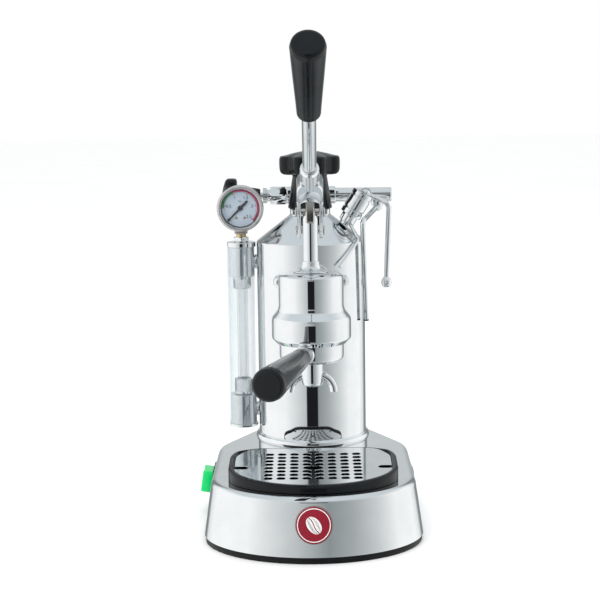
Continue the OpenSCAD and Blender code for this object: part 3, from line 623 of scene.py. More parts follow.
def front_wall(x, z, proud):
    """A point on the base's front wall at x and z, standing proud of it."""
    inset = wall_inset(z)
    share = min(0.999, abs(x) / (100 - inset))
    return (x, FRONT_Y - (77 - inset) * sqrt(1 - share * share) - proud, z)


def disc_rows(radius, proud, rings, hollow=0.0, steps=64):
    """Rings of a disc on the front wall, proud being a height over the share of radius."""
    rows = []
    for i in range(rings + 1):
        share = max(hollow + (1 - hollow) * i / rings, 0.004)
        around = [2 * pi * k / steps for k in range(steps)]
        rows.append([front_wall(radius * share * cos(t), BADGE_Z + radius * share * sin(t),
            proud(share)) for t in around])
    return rows


def make_badge():
    dome = lambda s: 0.95 * (1 - max(0.0, s - 0.9) ** 2 * 45)
    rows = disc_rows(16.5, dome, 20)
    rows += [[(x, y + d, z) for x, y, z in rows[-1]] for d in (0.35, 0.9)]
    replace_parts(lofted("badge_disc", rows, "machine", ENAMEL), "badge")

    def relief(name, rows, look):
        back = [[(x, y + 0.25, z) for x, y, z in row] for row in rows[::-1]]
        lofted(name, rows + back, "machine", look, loop=True)

    relief("badge_ring", disc_rows(14.6, lambda s: 1.06, 2, 0.95), CREAM)
    relief("badge_rim", disc_rows(16.4, lambda s: 1.1, 2, 0.965), BADGE_STEEL)
    tilt = radians(38)
    relief("badge_bean_left", half_bean(tilt, -1), CREAM)
    relief("badge_bean_right", half_bean(tilt, 1), CREAM)


def half_bean(tilt, side):
    """Half of a plain coffee bean, cut off along its curved crease."""
    inner, outer, steps = [], [], 32
    for k in range(steps + 1):
        v = -1 + 2 * k / steps
        crease = 0.9 * sin(v * pi * 0.9) + side * 0.45
        edge = side * 5.6 * sqrt(max(0.0, 1 - v * v))
        edge = edge if side * (edge - crease) > 0.05 else crease + side * 0.05
        for u, line in ((crease, inner), (edge, outer)):
            x = u * cos(tilt) - 8.4 * v * sin(tilt)
            z = BADGE_Z + u * sin(tilt) + 8.4 * v * cos(tilt)
            line.append(front_wall(x, z, 1.1))
    middle = [tuple((Vector(a) + Vector(b)) / 2) for a, b in zip(inner, outer)]
    return [inner + outer[::-1], middle + middle[::-1]]


def make_switch():
    way = wall_way(-1, -14, 30)
    hole = oblong(14.1, 10.8, 0.8)[::-1]
    bezel = sheet_rings("switch_bezel", [oblong(18, 13.5, 2.2), hole], 0.05, 2.2, 0.5, "machine",
        BLACK)
    bezel.data.transform(SCALE @ way @ SCALE.inverted())
    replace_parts(bezel, "switch_housing")
    box = sheet_rings("switch_box", [oblong(15.2, 11.7, 1), hole], -15, 0.04, 0.2, "machine", BLACK)
    box.data.transform(SCALE @ way @ SCALE.inverted())
    prism("switch_back", oblong(15, 11.5, 1), -18, -15, "machine", BLACK, way)
    side = [(-12.3, -0.5), (-12.1, 10.4), (-11.7, 11.5), (-11.0, 11.9), (-9.3, 11.3), (-6.5, 10.2),
        (-3.4, 9.5), (0, 9.2)]
    side += [(-x, z) for x, z in side[-2::-1]] + [(4, -4), (-4, -4)]
    rocker = prism("rocker_key", side, -10.2, 10.2, "rocker", GREEN, way @ turn(90, "X"))
    bevel(rocker, 0.7, 3)
    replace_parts(rocker, "switch_rocker")


def fine(corners, radius, steps=5):
    """A closed outline with round corners."""
    out = []
    for k, b in enumerate(corners):
        a, c = corners[k - 1], corners[(k + 1) % len(corners)]
        out += [tuple(p) for p in arc_corner(Vector(a), Vector(b), Vector(c), radius, steps)]
    return out


def oblong(half_x, half_y, radius):
    """A rectangle round the origin, with round corners."""
    return fine([(-half_x, -half_y), (half_x, -half_y), (half_x, half_y), (-half_x, half_y)],
        radius)


def make_lamp():
    way = wall_way(1, -8, 33)
    turned("lamp_bezel", [(6.6, 0.1), (8.2, 0.1), (8.2, 1.3), (6.9, 1.9), (6.6, 1.3)], 0.3,
        "machine", BLACK, way, 64, loop=True)
    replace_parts(turned("lamp_lens", [(0, -12), (5.9, -12), (6.2, -11), (6.2, 0), (6.5, 0.4),
        (6.5, 1.2), (5.4, 2.3), (3, 2.7), (0, 2.8)], 0.6, "machine", LAMP, way, 64), "pilot_lamp")


# --- boiler and cap ---

BOLT_X = 28.6
FLANGE = place(0, 0, 228) @ turn(90, "X")  # the group's flange: local Z points at the viewer


def make_boiler():
    outer = rounded([(24, 38), (28, 38), (28, 59), (52.4, 59), (52.4, 263.2), (20.2, 288),
        (19.5, 289), (19.5, 294), (12, 294), (12, 286), (17, 284.6), (50.6, 259.4), (50.6, 61.4),
        (24, 61.4), (24, 38)], [0.4, 0.6, 0.6, 3.2, 1.2, 0.5, 0.5, 0.3, 1, 3, 2, 1, 1])[:-1]
    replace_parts(lathe("boiler_tube", outer, "machine", CHROME, steps=160, loop=True),
        "boiler_shell")
    rounded_pad("boiler_pad", -55.0, -44)
    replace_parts(chromed("boiler_collar", [(52.45, 57.1), (53.6, 57.1), (53.6, 68.6), (55.0, 69.6),
        (55.6, 72.4), (54.6, 75.2), (53.4, 76.2), (53.0, 77), (52.45, 77)],
        [0.3, 1, 1.4, 1.8, 1.4, 0.8, 0.3], steps=160), "boiler_ring")


def rounded_pad(name, front, back, radius=20.0, ear=6.0):
    """The flange between group and boiler: a round middle with an ear at each bolt."""
    half = arc((BOLT_X, 2.6), (ear, ear), range(-66, 67, 6))
    top = arc((0, 0), (radius, radius), range(40, 141, 5))
    low = arc((0, 0), (radius, radius), range(200, 341, 5))
    pad = prism(name, half + top + mirrored(half) + low, -back, -front, "machine", CHROME, FLANGE)
    bevel(pad, 0.8, 3)
    return pad


def make_cap():
    turned("cap_skirt", [(8.2, 296.9), (15.8, 296.9), (15.8, 294.5), (21.1, 294.4), (21.2, 296),
        (16.6, 325.5), (17.6, 328), (8.2, 328)], [0.3, 0.3, 0.5, 0.8, 2.5, 0.5], "cap_knob",
        BAKELITE, loop=True)
    dome = [(31 - 72 * sin(radians(t)), 350 - 72 * (1 - cos(radians(t))))
        for t in (20, 16, 12, 9, 6, 3, 0.1)]
    rows = [(31 - 9, 327.2), (6.5, 327.1), (3.4, 327.6), (1.5, 329.2), (0.5, 331.4), (0.1, 334),
        (0.0, 339), (0.1, 342.4), (0.5, 343.7), (1.3, 344.4)]
    rows += [(inset, z - 0.1) for inset, z in dome if inset > 4.5]
    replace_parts(lobed_knob("cap_grip", 31, 7, 8, rows, "cap_knob", BAKELITE, NO_TURN,
        radians(22.5)), "cap_knob")


# --- sight glass and gauge ---

SIGHT = place(-67.2)
GAUGE = place(-67.2, 0, 295.5) @ turn(90, "X")  # local Z points at the viewer


def make_sight():
    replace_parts(chromed("sight_head", [(3.5, 229), (12.4, 229), (12.6, 230), (12.6, 257.4),
        (13.9, 257.9), (13.9, 262.4), (7, 262.6), (4.4, 262.7), (4.4, 265.4), (3.5, 265.4)],
        [0.4, 0.5, 0.3, 0.3, 0.7, 0.5, 0.2, 0.3], SIGHT), "sight_top_fitting")
    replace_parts(chromed("sight_foot", [(0, 81.1), (13.6, 81.1), (13.9, 81.7), (13.9, 83.9),
        (12.7, 84.3), (12.6, 112.5), (5.7, 112.6), (5.7, 106), (0, 106)],
        [0.5, 0.5, 0.3, 0.3, 0.6, 0.3, 0.2], SIGHT, loop=False), "sight_bottom_fitting")
    for name, z in (("sight_tap_low", 98), ("sight_tap_high", 243)):
        chromed(name, [(3.4, 11.5), (5.9, 11.5), (5.9, 12.9), (7.2, 13.2), (7.2, 14.6),
            (3.4, 14.6)], 0.3, SIGHT @ place(0, 0, z) @ turn(90, "Y"), 64)
    for name, z, height, flats in (("sight_nut_low", 112.9, 15.2, 16),
            ("sight_nut_high", 217, 11.8, 15.6)):
        piece = nut(name, flats, height, "machine", CHROME, SIGHT @ place(0, 0, z), 5.65, 0.9, 0.26)
        ring_z = z + 0.1 if z < 150 else z + height - 2.7
        chromed(name + "_ring", [(7, ring_z), (8.8, ring_z), (8.8, ring_z + 2.5),
            (7, ring_z + 2.5)], 0.5, SIGHT)
        if z < 150:
            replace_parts(piece, "sight_nuts")


def text_piece(name, words, size, way):
    """Plain raised figures, made from Blender's own letters."""
    curve = bpy.data.curves.new(name, "FONT")
    curve.body, curve.size, curve.align_x, curve.align_y = words, size, "CENTER", "CENTER"
    curve.extrude, curve.resolution_u = 0.05, 3
    source = linked(name, curve)
    bpy.context.view_layer.update()
    graph = bpy.context.evaluated_depsgraph_get()
    mesh = bpy.data.meshes.new_from_object(source.evaluated_get(graph))
    bpy.data.objects.remove(source)
    bpy.data.curves.remove(curve)
    mesh.materials.clear()
    mesh.transform(SCALE @ way)
    adopt(name, mesh, "machine", INK, smooth=False)


def dial_way(angle=0.0, radius=0.0, lift=0.0):
    """A place on the dial, its angle clockwise from the top and local Z at the viewer."""
    t = radians(angle)
    return place(-67.2 + radius * sin(t), -7.0 - lift, 295.5 + radius * cos(t)) @ turn(90, "X")


def arc_band(name, start, end, inner, outer, lift, look):
    """A printed band of the dial between two angles."""
    n = max(2, int(abs(end - start) / 3))
    rows = []
    for k in range(n + 1):
        t = radians(start + (end - start) * k / n)
        rows.append([(r * sin(t), r * cos(t), h) for r,
            h in ((inner, 0), (outer, 0), (outer, 0.06), (inner, 0.06))])
    lofted(name, rows, "machine", look, dial_way(lift=lift))


def make_gauge():
    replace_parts(turned("gauge_rim", [(18.7, 9.6), (18.7, 12.4), (19.3, 13.4), (20.6, 13.7),
        (21.9, 13.0), (22.5, 11.2), (22.5, 7.4), (22.2, 6.1), (21.1, 6.1), (21.1, 10.4),
        (19.4, 10.6)], 0.7, "machine", SATIN, GAUGE, loop=True), "gauge_bezel")
    # A ring inked dark in the gap between dial and bezel: painted shadow there, all round the dial.
    turned("gauge_shadow_ring", [(17.9, 7.05), (19.4, 7.05), (19.4, 9.3), (18.8, 9.3)], 0.2,
        "machine", INK, GAUGE, loop=True)
    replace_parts(turned("gauge_can", [(0, -10), (18.5, -10), (20.4, -9), (21, -7), (21, 6),
        (19.7, 6), (19.7, -8), (0, -8.4)], [3, 1, 1, 0.2, 0.2, 1], "machine", STEEL, GAUGE),
        "gauge_case")
    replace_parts(turned("gauge_face", [(0, 6.2), (19.3, 6.2), (19.4, 6.6), (19.3, 7.0), (0, 7.0)],
        0.2, "machine", DIAL, GAUGE), "gauge_dial")
    arc_band("dial_band_green", -90, -27, 15.9, 17.8, 0, ARC_GREEN)
    arc_band("dial_band_red", -27, 135, 16.1, 17.8, 0, ARC_RED)
    for k in range(51):
        angle = -135 + 270 * k / 50
        long = k % 10 == 0
        wide = 1.3 if long else 0.6
        arc_band(f"dial_tick_{k:02d}", angle - wide, angle + wide, 14.2 if long else 15.0, 15.8,
            0.01, INK)
    for k, words in enumerate(("0.5", "1", "1.5", "2", "2.5")):
        angle = -81 + 54 * k
        text_piece(f"dial_figure_{k}", words, 4.4, dial_way(angle, 11.5, 0.05))
    text_piece("dial_unit", "bar", 2.8, dial_way(0, 6.8, 0.05))
    for side, hand in SIDES:
        turned("dial_screw_" + hand, [(0, 6.9), (1.3, 6.9), (1.3, 7.3), (0.9, 7.55), (0, 7.6)], 0.2,
            "machine", BRASS, place(side * 4) @ place(0, 0, -9.3) @ GAUGE, 32)
    half = [(1.1, -9.9), (1.15, -3), (0.95, 3), (0.75, 14.2), (1.2, 15.0), (1.4, 16.2), (1.0, 17.2)]
    route = half + [(0, 17.5)] + mirrored(half)
    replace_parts(prism("needle_hand", route, 8.15, 8.65, "needle", INK, GAUGE @ turn(135, "Z")),
        "gauge_needle")
    turned("needle_hub", [(0, 6.4), (1, 6.4), (1, 7.6), (2.5, 7.7), (2.5, 8.9), (1.6, 9.1),
        (0, 9.15)], 0.25, "needle", INK, GAUGE, 48)
    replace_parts(turned("gauge_glass", [(0, 9.35), (19.3, 9.35), (19.3, 10.3), (0, 10.3)], 0.2,
        "machine", LENS, GAUGE), "gauge_lens")
    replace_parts(nut("gauge_nut", 14.4, 4.4, "machine", CHROMED_BRASS, SIGHT @ place(0, 0, 262.8),
        4.55, 0.7), "gauge_stem")
    turned("gauge_neck", [(1.5, 267.1), (4.9, 267.1), (4.9, 269.6), (4.2, 270.8), (4.2, 274.2),
        (1.5, 274.2)], 0.4, "machine", BRASS, SIGHT, 64, loop=True)
    block = prism("gauge_block", oblong(6.3, 6.3, 1.0), 270.6, 274.6, "machine", SATIN_BRASS, SIGHT)
    bevel(block, 0.4, 2)


# --- steam valve ---

VALVE = place(0, 33, 304.5) @ turn(90, "Y")
STEAM_BALL, SIDE_BALL = (54.7, 22, 306), (66.5, 30, 293)
BALL = arc((0, 0), (4.75, 4.75), [-90 + 180 * k / 14 for k in range(15)])


def make_valve():
    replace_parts(chromed("valve_tube", [(2.5, -22.6), (8.65, -22.6), (8.65, 24.8), (6.95, 25.2),
        (6.85, 79.2), (6.2, 80.6), (2.5, 80.6)], [0.7, 0.6, 0.3, 0.9, 0.9], VALVE), "valve_body")
    chromed("valve_boss", [(0, 282), (8.2, 282), (8.2, 299.5), (5, 303), (0, 303)], 0.8,
        place(0, 33), 64, loop=False)
    for name, at, way in (("wand_socket_right", STEAM_BALL, turn(-90, "X")),
            ("wand_socket_left", SIDE_BALL, NO_TURN)):
        chromed(name, [(4.95, 0.9), (5.6, 0.9), (5.9, 2), (5.9, 7.2), (4, 9), (0, 9), (0, 4.9),
            (3.4, 4.1)], 0.5, place(*at) @ way, 64, loop=False)
    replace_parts(nut("valve_cap_nut", 17, 16.4, "machine", CHROME, VALVE @ place(0, 0, -39.4), 3.1,
        1.2), "valve_nut")
    chromed("valve_gland", [(3.1, -42.2), (5.6, -42.2), (6, -41.6), (6, -39.3), (3.1, -39.3)], 0.4,
        VALVE, 64)
    rows = [(9.5, -71.4), (6, -71.9), (2.6, -72.2), (1.0, -72.9), (0.2, -74.4), (0.0, -77.0),
        (0.1, -80.4), (0.6, -82.2), (1.6, -83.1), (4.0, -84.2), (8.0, -85.6), (12.0, -86.5),
        (15.5, -86.9), (18.2, -87.0)]
    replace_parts(lobed_knob("steam_grip", 18.3, 5, 8, rows, "steam_knob", BAKELITE, VALVE,
        radians(22.5)), "steam_knob")
    turned("steam_grip_cone", [(3.1, -72), (10.6, -72.6), (7.0, -50), (6.2, -49), (3.1, -49)],
        [1.5, 1.2, 0.6], "steam_knob", BAKELITE, VALVE, loop=True)


def make_wands():
    points = rounded([STEAM_BALL, (77, 12, 297), (74, 12, 223)], 9, 10)
    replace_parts(pipe("steam_pipe", points, 2.6, "steam_wand", CHROME), "steam_wand")
    lathe("steam_pipe_ball", BALL, "steam_wand", CHROME, place(*STEAM_BALL), 48)
    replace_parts(turned("steam_nozzle", [(0.9, -5.0), (2.2, -4.9), (4.4, -3.2), (5.3, -0.4),
        (4.9, 2.2), (3.5, 4.2), (2.75, 5.6), (0.9, 5.6)], [0.5, 1.5, 2, 2, 1, 0.4], "steam_wand",
        CHROME, place(74, 12, 219.4), 48, loop=True), "steam_tip")
    points = rounded([SIDE_BALL, (49.6, -27, 283), (52.7, -22, 187)], 7, 10)
    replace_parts(pipe("side_pipe", points, 2.5, "side_wand", CHROME, bore=1.6), "side_wand")
    end = Vector((49.6, -27, 283)) - Vector((52.7, -22, 187))
    way = place(52.7, -22, 187) @ end.to_track_quat("Z", "Y").to_matrix().to_4x4()
    turned("side_pipe_ring", [(2.42, 0.1), (2.56, 0.1), (2.56, 1.4), (2.42, 1.4)], 0.04,
        "side_wand", RUBBER, way, 48, loop=True)
    lathe("side_pipe_ball", BALL, "side_wand", CHROME, place(*SIDE_BALL), 48)
    points = rounded([(37.5, -15.5, 281), (45.8, -31.5, 266.4), (27.1, -51.7, 242.6)], 8, 10)
    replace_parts(pipe("discharge_pipe", points, 1.5, "machine", CHROME, 20), "discharge_tube")


def make_safety():
    way = place(32, -9, 277) @ turn(31, "Y")
    chromed("safety_stem", [(2.4, 2.2), (6, 2.2), (6, 5), (7.9, 5.2), (7.9, 12), (8, 12.9),
        (2.4, 12.9)], 0.3, way, 64)
    nut("safety_nut", 14.5, 6.4, "machine", CHROME, way @ place(0, 0, 5.1), 7.0, 0.8)
    outline = [(3.4, 38.0), (7.8, 38.1), (10.3, 37.4), (10.5, 36.2), (10.5, 33.2), (9.7, 32.8),
        (9.7, 32.0), (10.5, 31.6), (10.5, 19.6), (9.7, 19.2), (9.7, 18.4), (10.5, 18.0),
        (10.5, 13.4), (9.9, 12.7), (8.6, 12.7), (8.6, 36), (3.4, 36)]
    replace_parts(lathe("safety_hat", rounded(outline, 0.35, 3), "machine", CHROME, way, loop=True),
        "safety_valve")


# --- group ---

GROUP = place(0, -95)
PIVOT = (-64, 278.5)  # the lever's axis, as (y, z)


def make_group():
    bell = [(8.3, 244.0), (15.6, 243.9), (24.5, 243.1), (29.6, 241.6), (29.6, 213), (30.6, 209.6),
        (35.4, 203.4), (36.1, 200.0), (36.1, 184.2), (31.9, 179.5), (29.8, 179.5), (29.8, 182),
        (31.1, 182.1), (31.1, 190), (22, 190), (22, 240), (8.3, 240)]
    radii = [3, 14, 4.2, 6, 5, 3.4, 4, 3.6, 0.5, 0.3, 0.3, 0.5, 0.3, 0.3, 0.3]
    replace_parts(lathe("group_bell", rounded(bell, radii, 8), "machine", CHROME, GROUP, 160,
        loop=True), "group_body")
    rounded_pad("group_flange", -60.0, -55.02)
    chromed("group_throat", [(0, 58.4), (18.4, 58.4), (16.2, 61.2), (15.6, 68), (0, 68)],
        [1, 2.5, 1], FLANGE, 96, loop=False)
    side = [(-55.6, 240), (-55.6, 278.5)]
    side += arc(PIVOT, (9, 9), range(10, 176, 11))
    side += [(-72.4, 274), (-72.4, 252), (-74.5, 243.8), (-74.5, 240)]
    post = prism("lever_post", [(z, -y) for y, z in side], -6.5, 6.5, "machine", CHROME,
        turn(-90, "Y"))
    post.data.transform(Matrix.Diagonal((1, -1, 1, 1)))
    bevel(post, 0.9, 3)
    for side_x, hand in SIDES:
        name = "flange_bolt_" + hand
        at = place(BOLT_X * side_x, 0, 230.6) @ turn(90, "X")
        head = chromed(name, [(2.2, 60.1), (6.3, 60.1), (6.4, 61.5), (5.8, 64.3), (3.6, 65.6),
            (2.9, 65.5), (2.9, 62.6), (2.2, 62.6)], [0.2, 0.5, 1.8, 1, 0.2, 0.1, 0.1], at, 64)
        turned(name + "_shank", [(0, 43), (2.6, 43), (3, 43.6), (3, 62.4), (0, 62.4)], 0.2,
            "machine", SHAFT_METAL, at, 32)
        if side_x < 0:
            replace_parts(head, "group_bolts")
    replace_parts(chromed("rod_collar", [(6.8, 240.2), (8.2, 240.2), (8.2, 244.05), (16, 244.1),
        (15.8, 244.9), (9.6, 246.6), (8.0, 250.4), (7.7, 253.8), (6.8, 254)],
        [0.2, 0.3, 0.4, 0.6, 5, 3, 0.5], GROUP, 96), "rod_gland")


def make_rod():
    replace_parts(turned("rod_shaft", [(0, 229.2), (5, 229.2), (5, 238), (6.75, 238), (6.75, 295.9),
        (0, 296)], [0.3, 0.1, 0.1, 0.7], "piston", CHROME, GROUP, 96), "piston_rod")
    rim = fine([(-105.5, 288.5), (-84.5, 288.5), (-84.5, 310.5), (-105.5, 310.5)], 2.4)
    slot = arc((-98.3, 298), (-3.75, 3.75), range(-90, 91, 15))
    slot += arc((-91.7, 298), (3.75, 3.75), range(90, -91, -15))
    sheet_rings("rod_crosshead", [rim, slot], -4.15, 4.15, 1.3, "piston", SHAFT_METAL, lambda x, y,
        z: (z, x, y))


# --- lever ---

LEVER = place(0, *PIVOT) @ turn(-35, "X")
ALONG = LEVER @ turn(90, "X")


def make_lever():
    for side, hand in SIDES:
        outline = arc((0, 0), (-7.5, 7.5), range(-84, 85, 12)) + [(12, 6.7), (40, 6.9), (58, 7.4),
            (64, 7.4), (64, -7.4), (58, -7.4), (40, -6.9), (12, -6.7)]
        name = "fork_arm_" + hand
        piece = prism(name, [(-v, u) for u, v in outline], 8.3, 11.75, "lever", CHROME,
            LEVER @ mirror_way(side))
        bevel(piece, 0.9, 3)
    crown = [(-11.75, 59), (-8.3, 57.5), (-7.6, 60.6), (-5.2, 62.4), (0, 63), (5.2, 62.4),
        (7.6, 60.6), (8.3, 57.5), (11.75, 59), (11.75, 80), (10.9, 85.6), (8.6, 89.6), (8.4, 92),
        (-8.4, 92), (-8.6, 89.6), (-10.9, 85.6), (-11.75, 80)]
    block = prism("fork_crown", crown, -7.5, 7.5, "lever", CHROME, LEVER @ turn(180, "Z"))
    bevel(block, 1.6, 4)
    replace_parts(block, "lever_fork")
    turned("fork_collar", [(6.05, 84), (8.6, 84), (8.6, 106), (8.0, 109.2), (6.9, 110),
        (6.05, 110)], [0.3, 1, 1.4, 0.5], "lever", CHROME, ALONG, loop=True)
    for length, name in ((0, "pivot_pin"), (34.1, "rod_pin")):
        pin = turned(name, [(0, -13.5), (3.4, -13.5), (4.4, -12.9), (4.4, -12.05), (3.0, -11.9),
            (3.0, 11.9), (4.4, 12.05), (4.4, 12.9), (3.4, 13.5), (0, 13.5)], 0.3, "lever",
            PIN_METAL, LEVER @ place(0, -length) @ turn(90, "Y"), 48)
        if length:
            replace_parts(pin, "fork_pins")
    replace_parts(turned("lever_bar", [(0, 74), (5.6, 74), (6, 75), (6, 244), (0, 244)], 0.5, "lever",
        CHROME, ALONG, 64), "lever_rod")
    grip = rounded([(6.1, 192), (6.1, 191.1), (8.4, 191.1), (10, 193.4), (10.5, 205), (12.6, 245),
        (13.9, 272), (14.2, 280), (13.2, 284.2), (10.6, 285.4), (0, 285.4)],
        [0.1, 0.6, 2.2, 6, 14, 10, 4, 2.2, 1.6], 6)
    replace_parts(lathe("lever_grip", grip, "lever", BAKELITE, ALONG, 128), "lever_handle")


def mirror_way(side):
    """Local X and Y in the arm's side plane, local Z along the lever's X to that side."""
    return Matrix(((0, 0, side, 0), (0, -1, 0, 0), (1, 0, 0, 0), (0, 0, 0, 1)))


# --- portafilter ---

PORTA = GROUP @ turn(-12.5, "Z")
PF_HANDLE = PORTA @ place(0, 0, 172.4) @ turn(90, "X")


def make_portafilter():
    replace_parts(turned("filter_bowl", [(4, 163), (25.4, 163), (29.0, 165.4), (29.4, 169),
        (29.4, 184.8), (28.9, 185.2), (26.6, 185.2), (26.3, 184.8), (26.3, 166.4), (4, 166)],
        [2.4, 3, 3, 0.4, 0.3, 0.2, 0.4, 1.5], "portafilter", CHROME, PORTA, 128, loop=True),
        "portafilter_body")
    for index, angle in enumerate((0, 180)):
        lug = arc((0, 0), (30.6, 30.6), range(-26, 27, 4))
        lug += arc((0, 0), (27.0, 27.0), range(26, -27, -4))
        piece = prism(f"filter_lug_{index}", lug, 182.2, 185.1, "portafilter", CHROME,
            PORTA @ turn(angle, "Z"))
        bevel(piece, 0.4, 2)
    turned("filter_neck", [(3.1, 26.6), (9.4, 26.6), (7.8, 30), (7.6, 33), (3.1, 33)],
        [0.3, 3, 0.4], "portafilter", CHROME, PF_HANDLE, 64, loop=True)
    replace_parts(turned("filter_ferrule", [(3.1, 33.05), (6.6, 33.05), (7, 33.6), (7, 40), (6.6, 41),
        (3.1, 41)], 0.5, "portafilter", CHROME, PF_HANDLE, 64, loop=True), "portafilter_ferrule")
    turned("filter_stud", [(0, 27.5), (2.6, 27.5), (3, 28), (3, 79), (2.4, 80), (0, 80)], 0.3,
        "portafilter", SHAFT_METAL, PF_HANDLE, 32)
    grip = rounded([(3.1, 42), (3.1, 41.05), (6.2, 41.05), (8.6, 43.2), (9.2, 52), (12.0, 110),
        (13.8, 148), (14.3, 158), (13.6, 163.4), (11.4, 165.4), (0, 165.4)],
        [0.1, 0.8, 2, 6, 20, 12, 5, 2.6, 2], 6)
    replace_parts(lathe("filter_grip", grip, "portafilter", BAKELITE, PF_HANDLE, 128),
        "portafilter_handle")
    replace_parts(turned("spout_boss", [(0, 139.1), (7.6, 139.1), (9.4, 140.4), (10, 142.6),
        (10, 160.2), (9.3, 161), (9.3, 161.8), (10.2, 162.3), (10.2, 163), (6, 163), (6, 146),
        (0, 146)], [1.4, 1.4, 1.4, 0.4, 0.3, 0.3, 0.4, 0.3, 0.3, 0.3], "portafilter", CHROME, GROUP,
        96), "spout")
    for side, hand in SIDES:
        route = [(side * x, 0, z) for x, z in arc((3.8, 133.6), (16, 16), range(90, -1, -5))]
        pipe("spout_arm_" + hand, route, 3.7, "portafilter", CHROME, bore=2.3, way=GROUP)


for make in (make_base, make_tray, make_grid, make_badge, make_switch, make_lamp, make_boiler,
        make_cap, make_sight, make_gauge, make_valve, make_wands, make_safety, make_group, make_rod,
        make_lever, make_portafilter):
    make()


# --- camera, light and floor ---

def make_camera():
    """The camera at the photograph's angle: place in metres, turns in degrees, shift as a share."""
    place, yaw, pitch, roll = Vector((0.0006, -1.3752, 0.4036)), 0.459, 6.630, -0.753
    yaw, pitch, roll = (radians(v) for v in (yaw, pitch, roll))
    ahead = Vector((-sin(yaw) * cos(pitch), cos(yaw) * cos(pitch), -sin(pitch)))
    right = Vector((cos(yaw), sin(yaw), 0))
    up = right.cross(ahead)
    right, up = (right * cos(roll) + up * sin(roll), up * cos(roll) - right * sin(roll))
    camera = linked("camera", bpy.data.cameras.new("camera"))
    camera.matrix_world = Matrix((right, up, -ahead)).transposed().to_4x4()
    camera.location = place
    camera.data.sensor_width, camera.data.lens = 36.0, 85.46
    camera.data.shift_y = -40 / 600
    camera.data.clip_start, camera.data.clip_end = 0.05, 50
    bpy.context.scene.camera = camera


MIX_A, MIX_B, MIX_RESULT = 6, 7, 2  # the colour sockets of a Mix node
PANELS = (  # brightness of the studio's wall by its azimuth, in degrees from the front
    (-180, 0.60), (-168, 0.50), (-160, 0.22), (-148, 0.25), (-139, 0.80), (-122, 0.98), (-88, 1.0),
    (-60, 0.96), (-35, 0.74), (-14, 0.56), (12, 0.30), (33, 0.42), (57, 0.64), (85, 0.94),
    (121, 1.0), (138, 0.80), (147, 0.28), (160, 0.22), (168, 0.50), (180, 0.60))
BANDS = (  # where the black panels ahead stand, by height on the sphere of directions
    (-1, 0), (-0.44, 0), (-0.42, 1), (-0.08, 1), (-0.055, 0), (0.25, 0), (0.27, 1), (0.42, 1),
    (0.45, 0), (1, 0))
PANEL_HALF, PANEL_CORE = radians(13), radians(11)
CEILING_FROM, CEILING_TO = 0.45, 0.75
WHITE = (1, 1, 1, 1)


def towards(tree, source, out, colour, factor, factor_out):
    """Mixes a node's colour with a constant one."""
    node = add(tree, "Mix", {MIX_B: (*colour, 1)}, data_type="RGBA")
    link(tree, factor, factor_out, node, "Factor")
    link(tree, source, out, node, MIX_A)
    return node


def choose(tree, path, ray, other, other_out, ray_sky):
    """The ray_sky for one kind of ray, the other for the rest."""
    node = add(tree, "MixShader")
    link(tree, path, ray, node, 0)
    link(tree, other, other_out, node, 1)
    link(tree, ray_sky, "Background", node, 2)
    return node


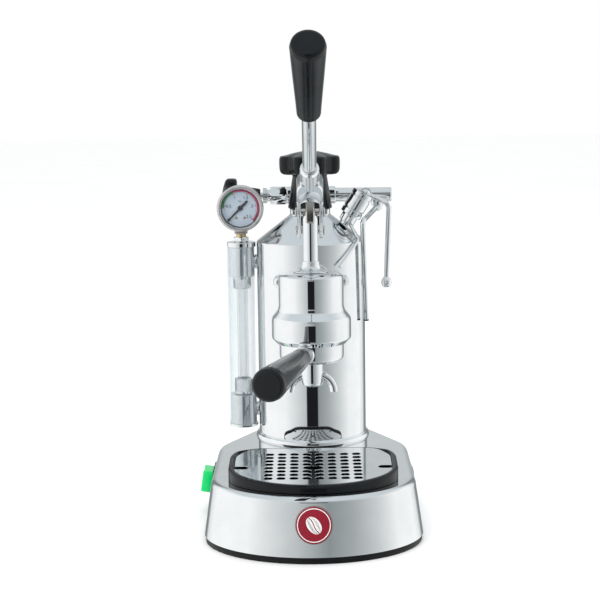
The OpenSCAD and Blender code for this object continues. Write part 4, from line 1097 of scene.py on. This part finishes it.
def make_world():
    """A pale studio all round, with the grey panels that chrome shows as soft bands."""
    world = bpy.data.worlds.new("studio")
    world.use_nodes = True
    bpy.context.scene.world = world
    tree = world.node_tree
    tree.nodes.clear()
    split = add(tree, "SeparateXYZ")
    link(tree, add(tree, "TexCoord"), "Generated", split, "Vector")
    back = add(tree, "Math", {1: -1.0}, operation="MULTIPLY")
    link(tree, split, "Y", back, 0)
    azimuth = add(tree, "Math", operation="ARCTAN2")
    link(tree, split, "X", azimuth, 0)
    link(tree, back, "Value", azimuth, 1)
    around = ramp(tree, [((degree + 180) / 360, value) for degree, value in PANELS],
        lambda value: (value ** 1.08, value, value ** 0.98, 1))
    link(tree, map_range(tree, azimuth, "Value", -pi, pi), "Result", around, "Fac")
    bands = ramp(tree, [((z + 1) / 2, value) for z, value in BANDS],
        lambda value: (value, value, value, 1))
    link(tree, map_range(tree, split, "Z", -1.0, 1.0), "Result", bands, "Fac")
    wide = add(tree, "Math", operation="ABSOLUTE")
    link(tree, azimuth, "Value", wide, 0)
    panel = add(tree, "Math", operation="MULTIPLY")
    link(tree, bands, "Color", panel, 0)
    link(tree, map_range(tree, wide, "Value", PANEL_HALF, PANEL_CORE), "Result", panel, 1)
    ceiling = map_range(tree, split, "Z", CEILING_FROM, CEILING_TO)
    above = towards(tree, around, "Color", (0.62, 0.67, 0.70), ceiling, "Result")
    dark = towards(tree, above, MIX_RESULT, (0.012, 0.013, 0.014), panel, "Value")
    studio = add(tree, "Background", {"Strength": 1.12})
    link(tree, dark, MIX_RESULT, studio, "Color")
    plain = add(tree, "Background", {"Color": WHITE, "Strength": 1.0})
    soft = add(tree, "Background", {"Color": WHITE, "Strength": 1.18})
    path = add(tree, "LightPath")
    fill = choose(tree, path, "Is Diffuse Ray", studio, "Background", soft)
    pick = choose(tree, path, "Is Camera Ray", fill, "Shader", plain)
    link(tree, pick, "Shader", add(tree, "OutputWorld"), "Surface")


def area_light(name, place, target, size, power):
    lamp = bpy.data.lights.new(name, "AREA")
    lamp.shape, lamp.size, lamp.size_y = "RECTANGLE", size[0], size[1]
    lamp.energy = power
    light = linked(name, lamp)
    light.visible_glossy = False
    light.location = place
    light.rotation_mode = "QUATERNION"
    light.rotation_quaternion = (Vector(target) - Vector(place)).to_track_quat("-Z", "Y")


def make_floor():
    mesh = bpy.data.meshes.new("floor")
    reach = 12.0
    mesh.from_pydata([(-reach, -reach, 0), (reach, -reach, 0), (reach, reach, 0),
        (-reach, reach, 0)], [], [(0, 1, 2, 3)])
    floor = linked("floor", mesh)
    material, tree, shader = nodes_of("floor")
    haze = noise(tree, 3.0)
    tint(tree, haze, (0.90, 0.90, 0.90), (0.92, 0.92, 0.92), shader)
    shader.inputs["Roughness"].default_value = 0.7
    mesh.materials.append(material)
    floor.visible_glossy = False


bpy.context.scene.view_settings.view_transform = "Standard"
make_camera()
make_world()
make_floor()
area_light("key", (-1.2, -1.4, 1.7), (0, 0, 0.2), (1.4, 1.4), 14)
area_light("top", (0.2, 0.2, 2.0), (0, 0, 0.2), (1.6, 1.6), 12)
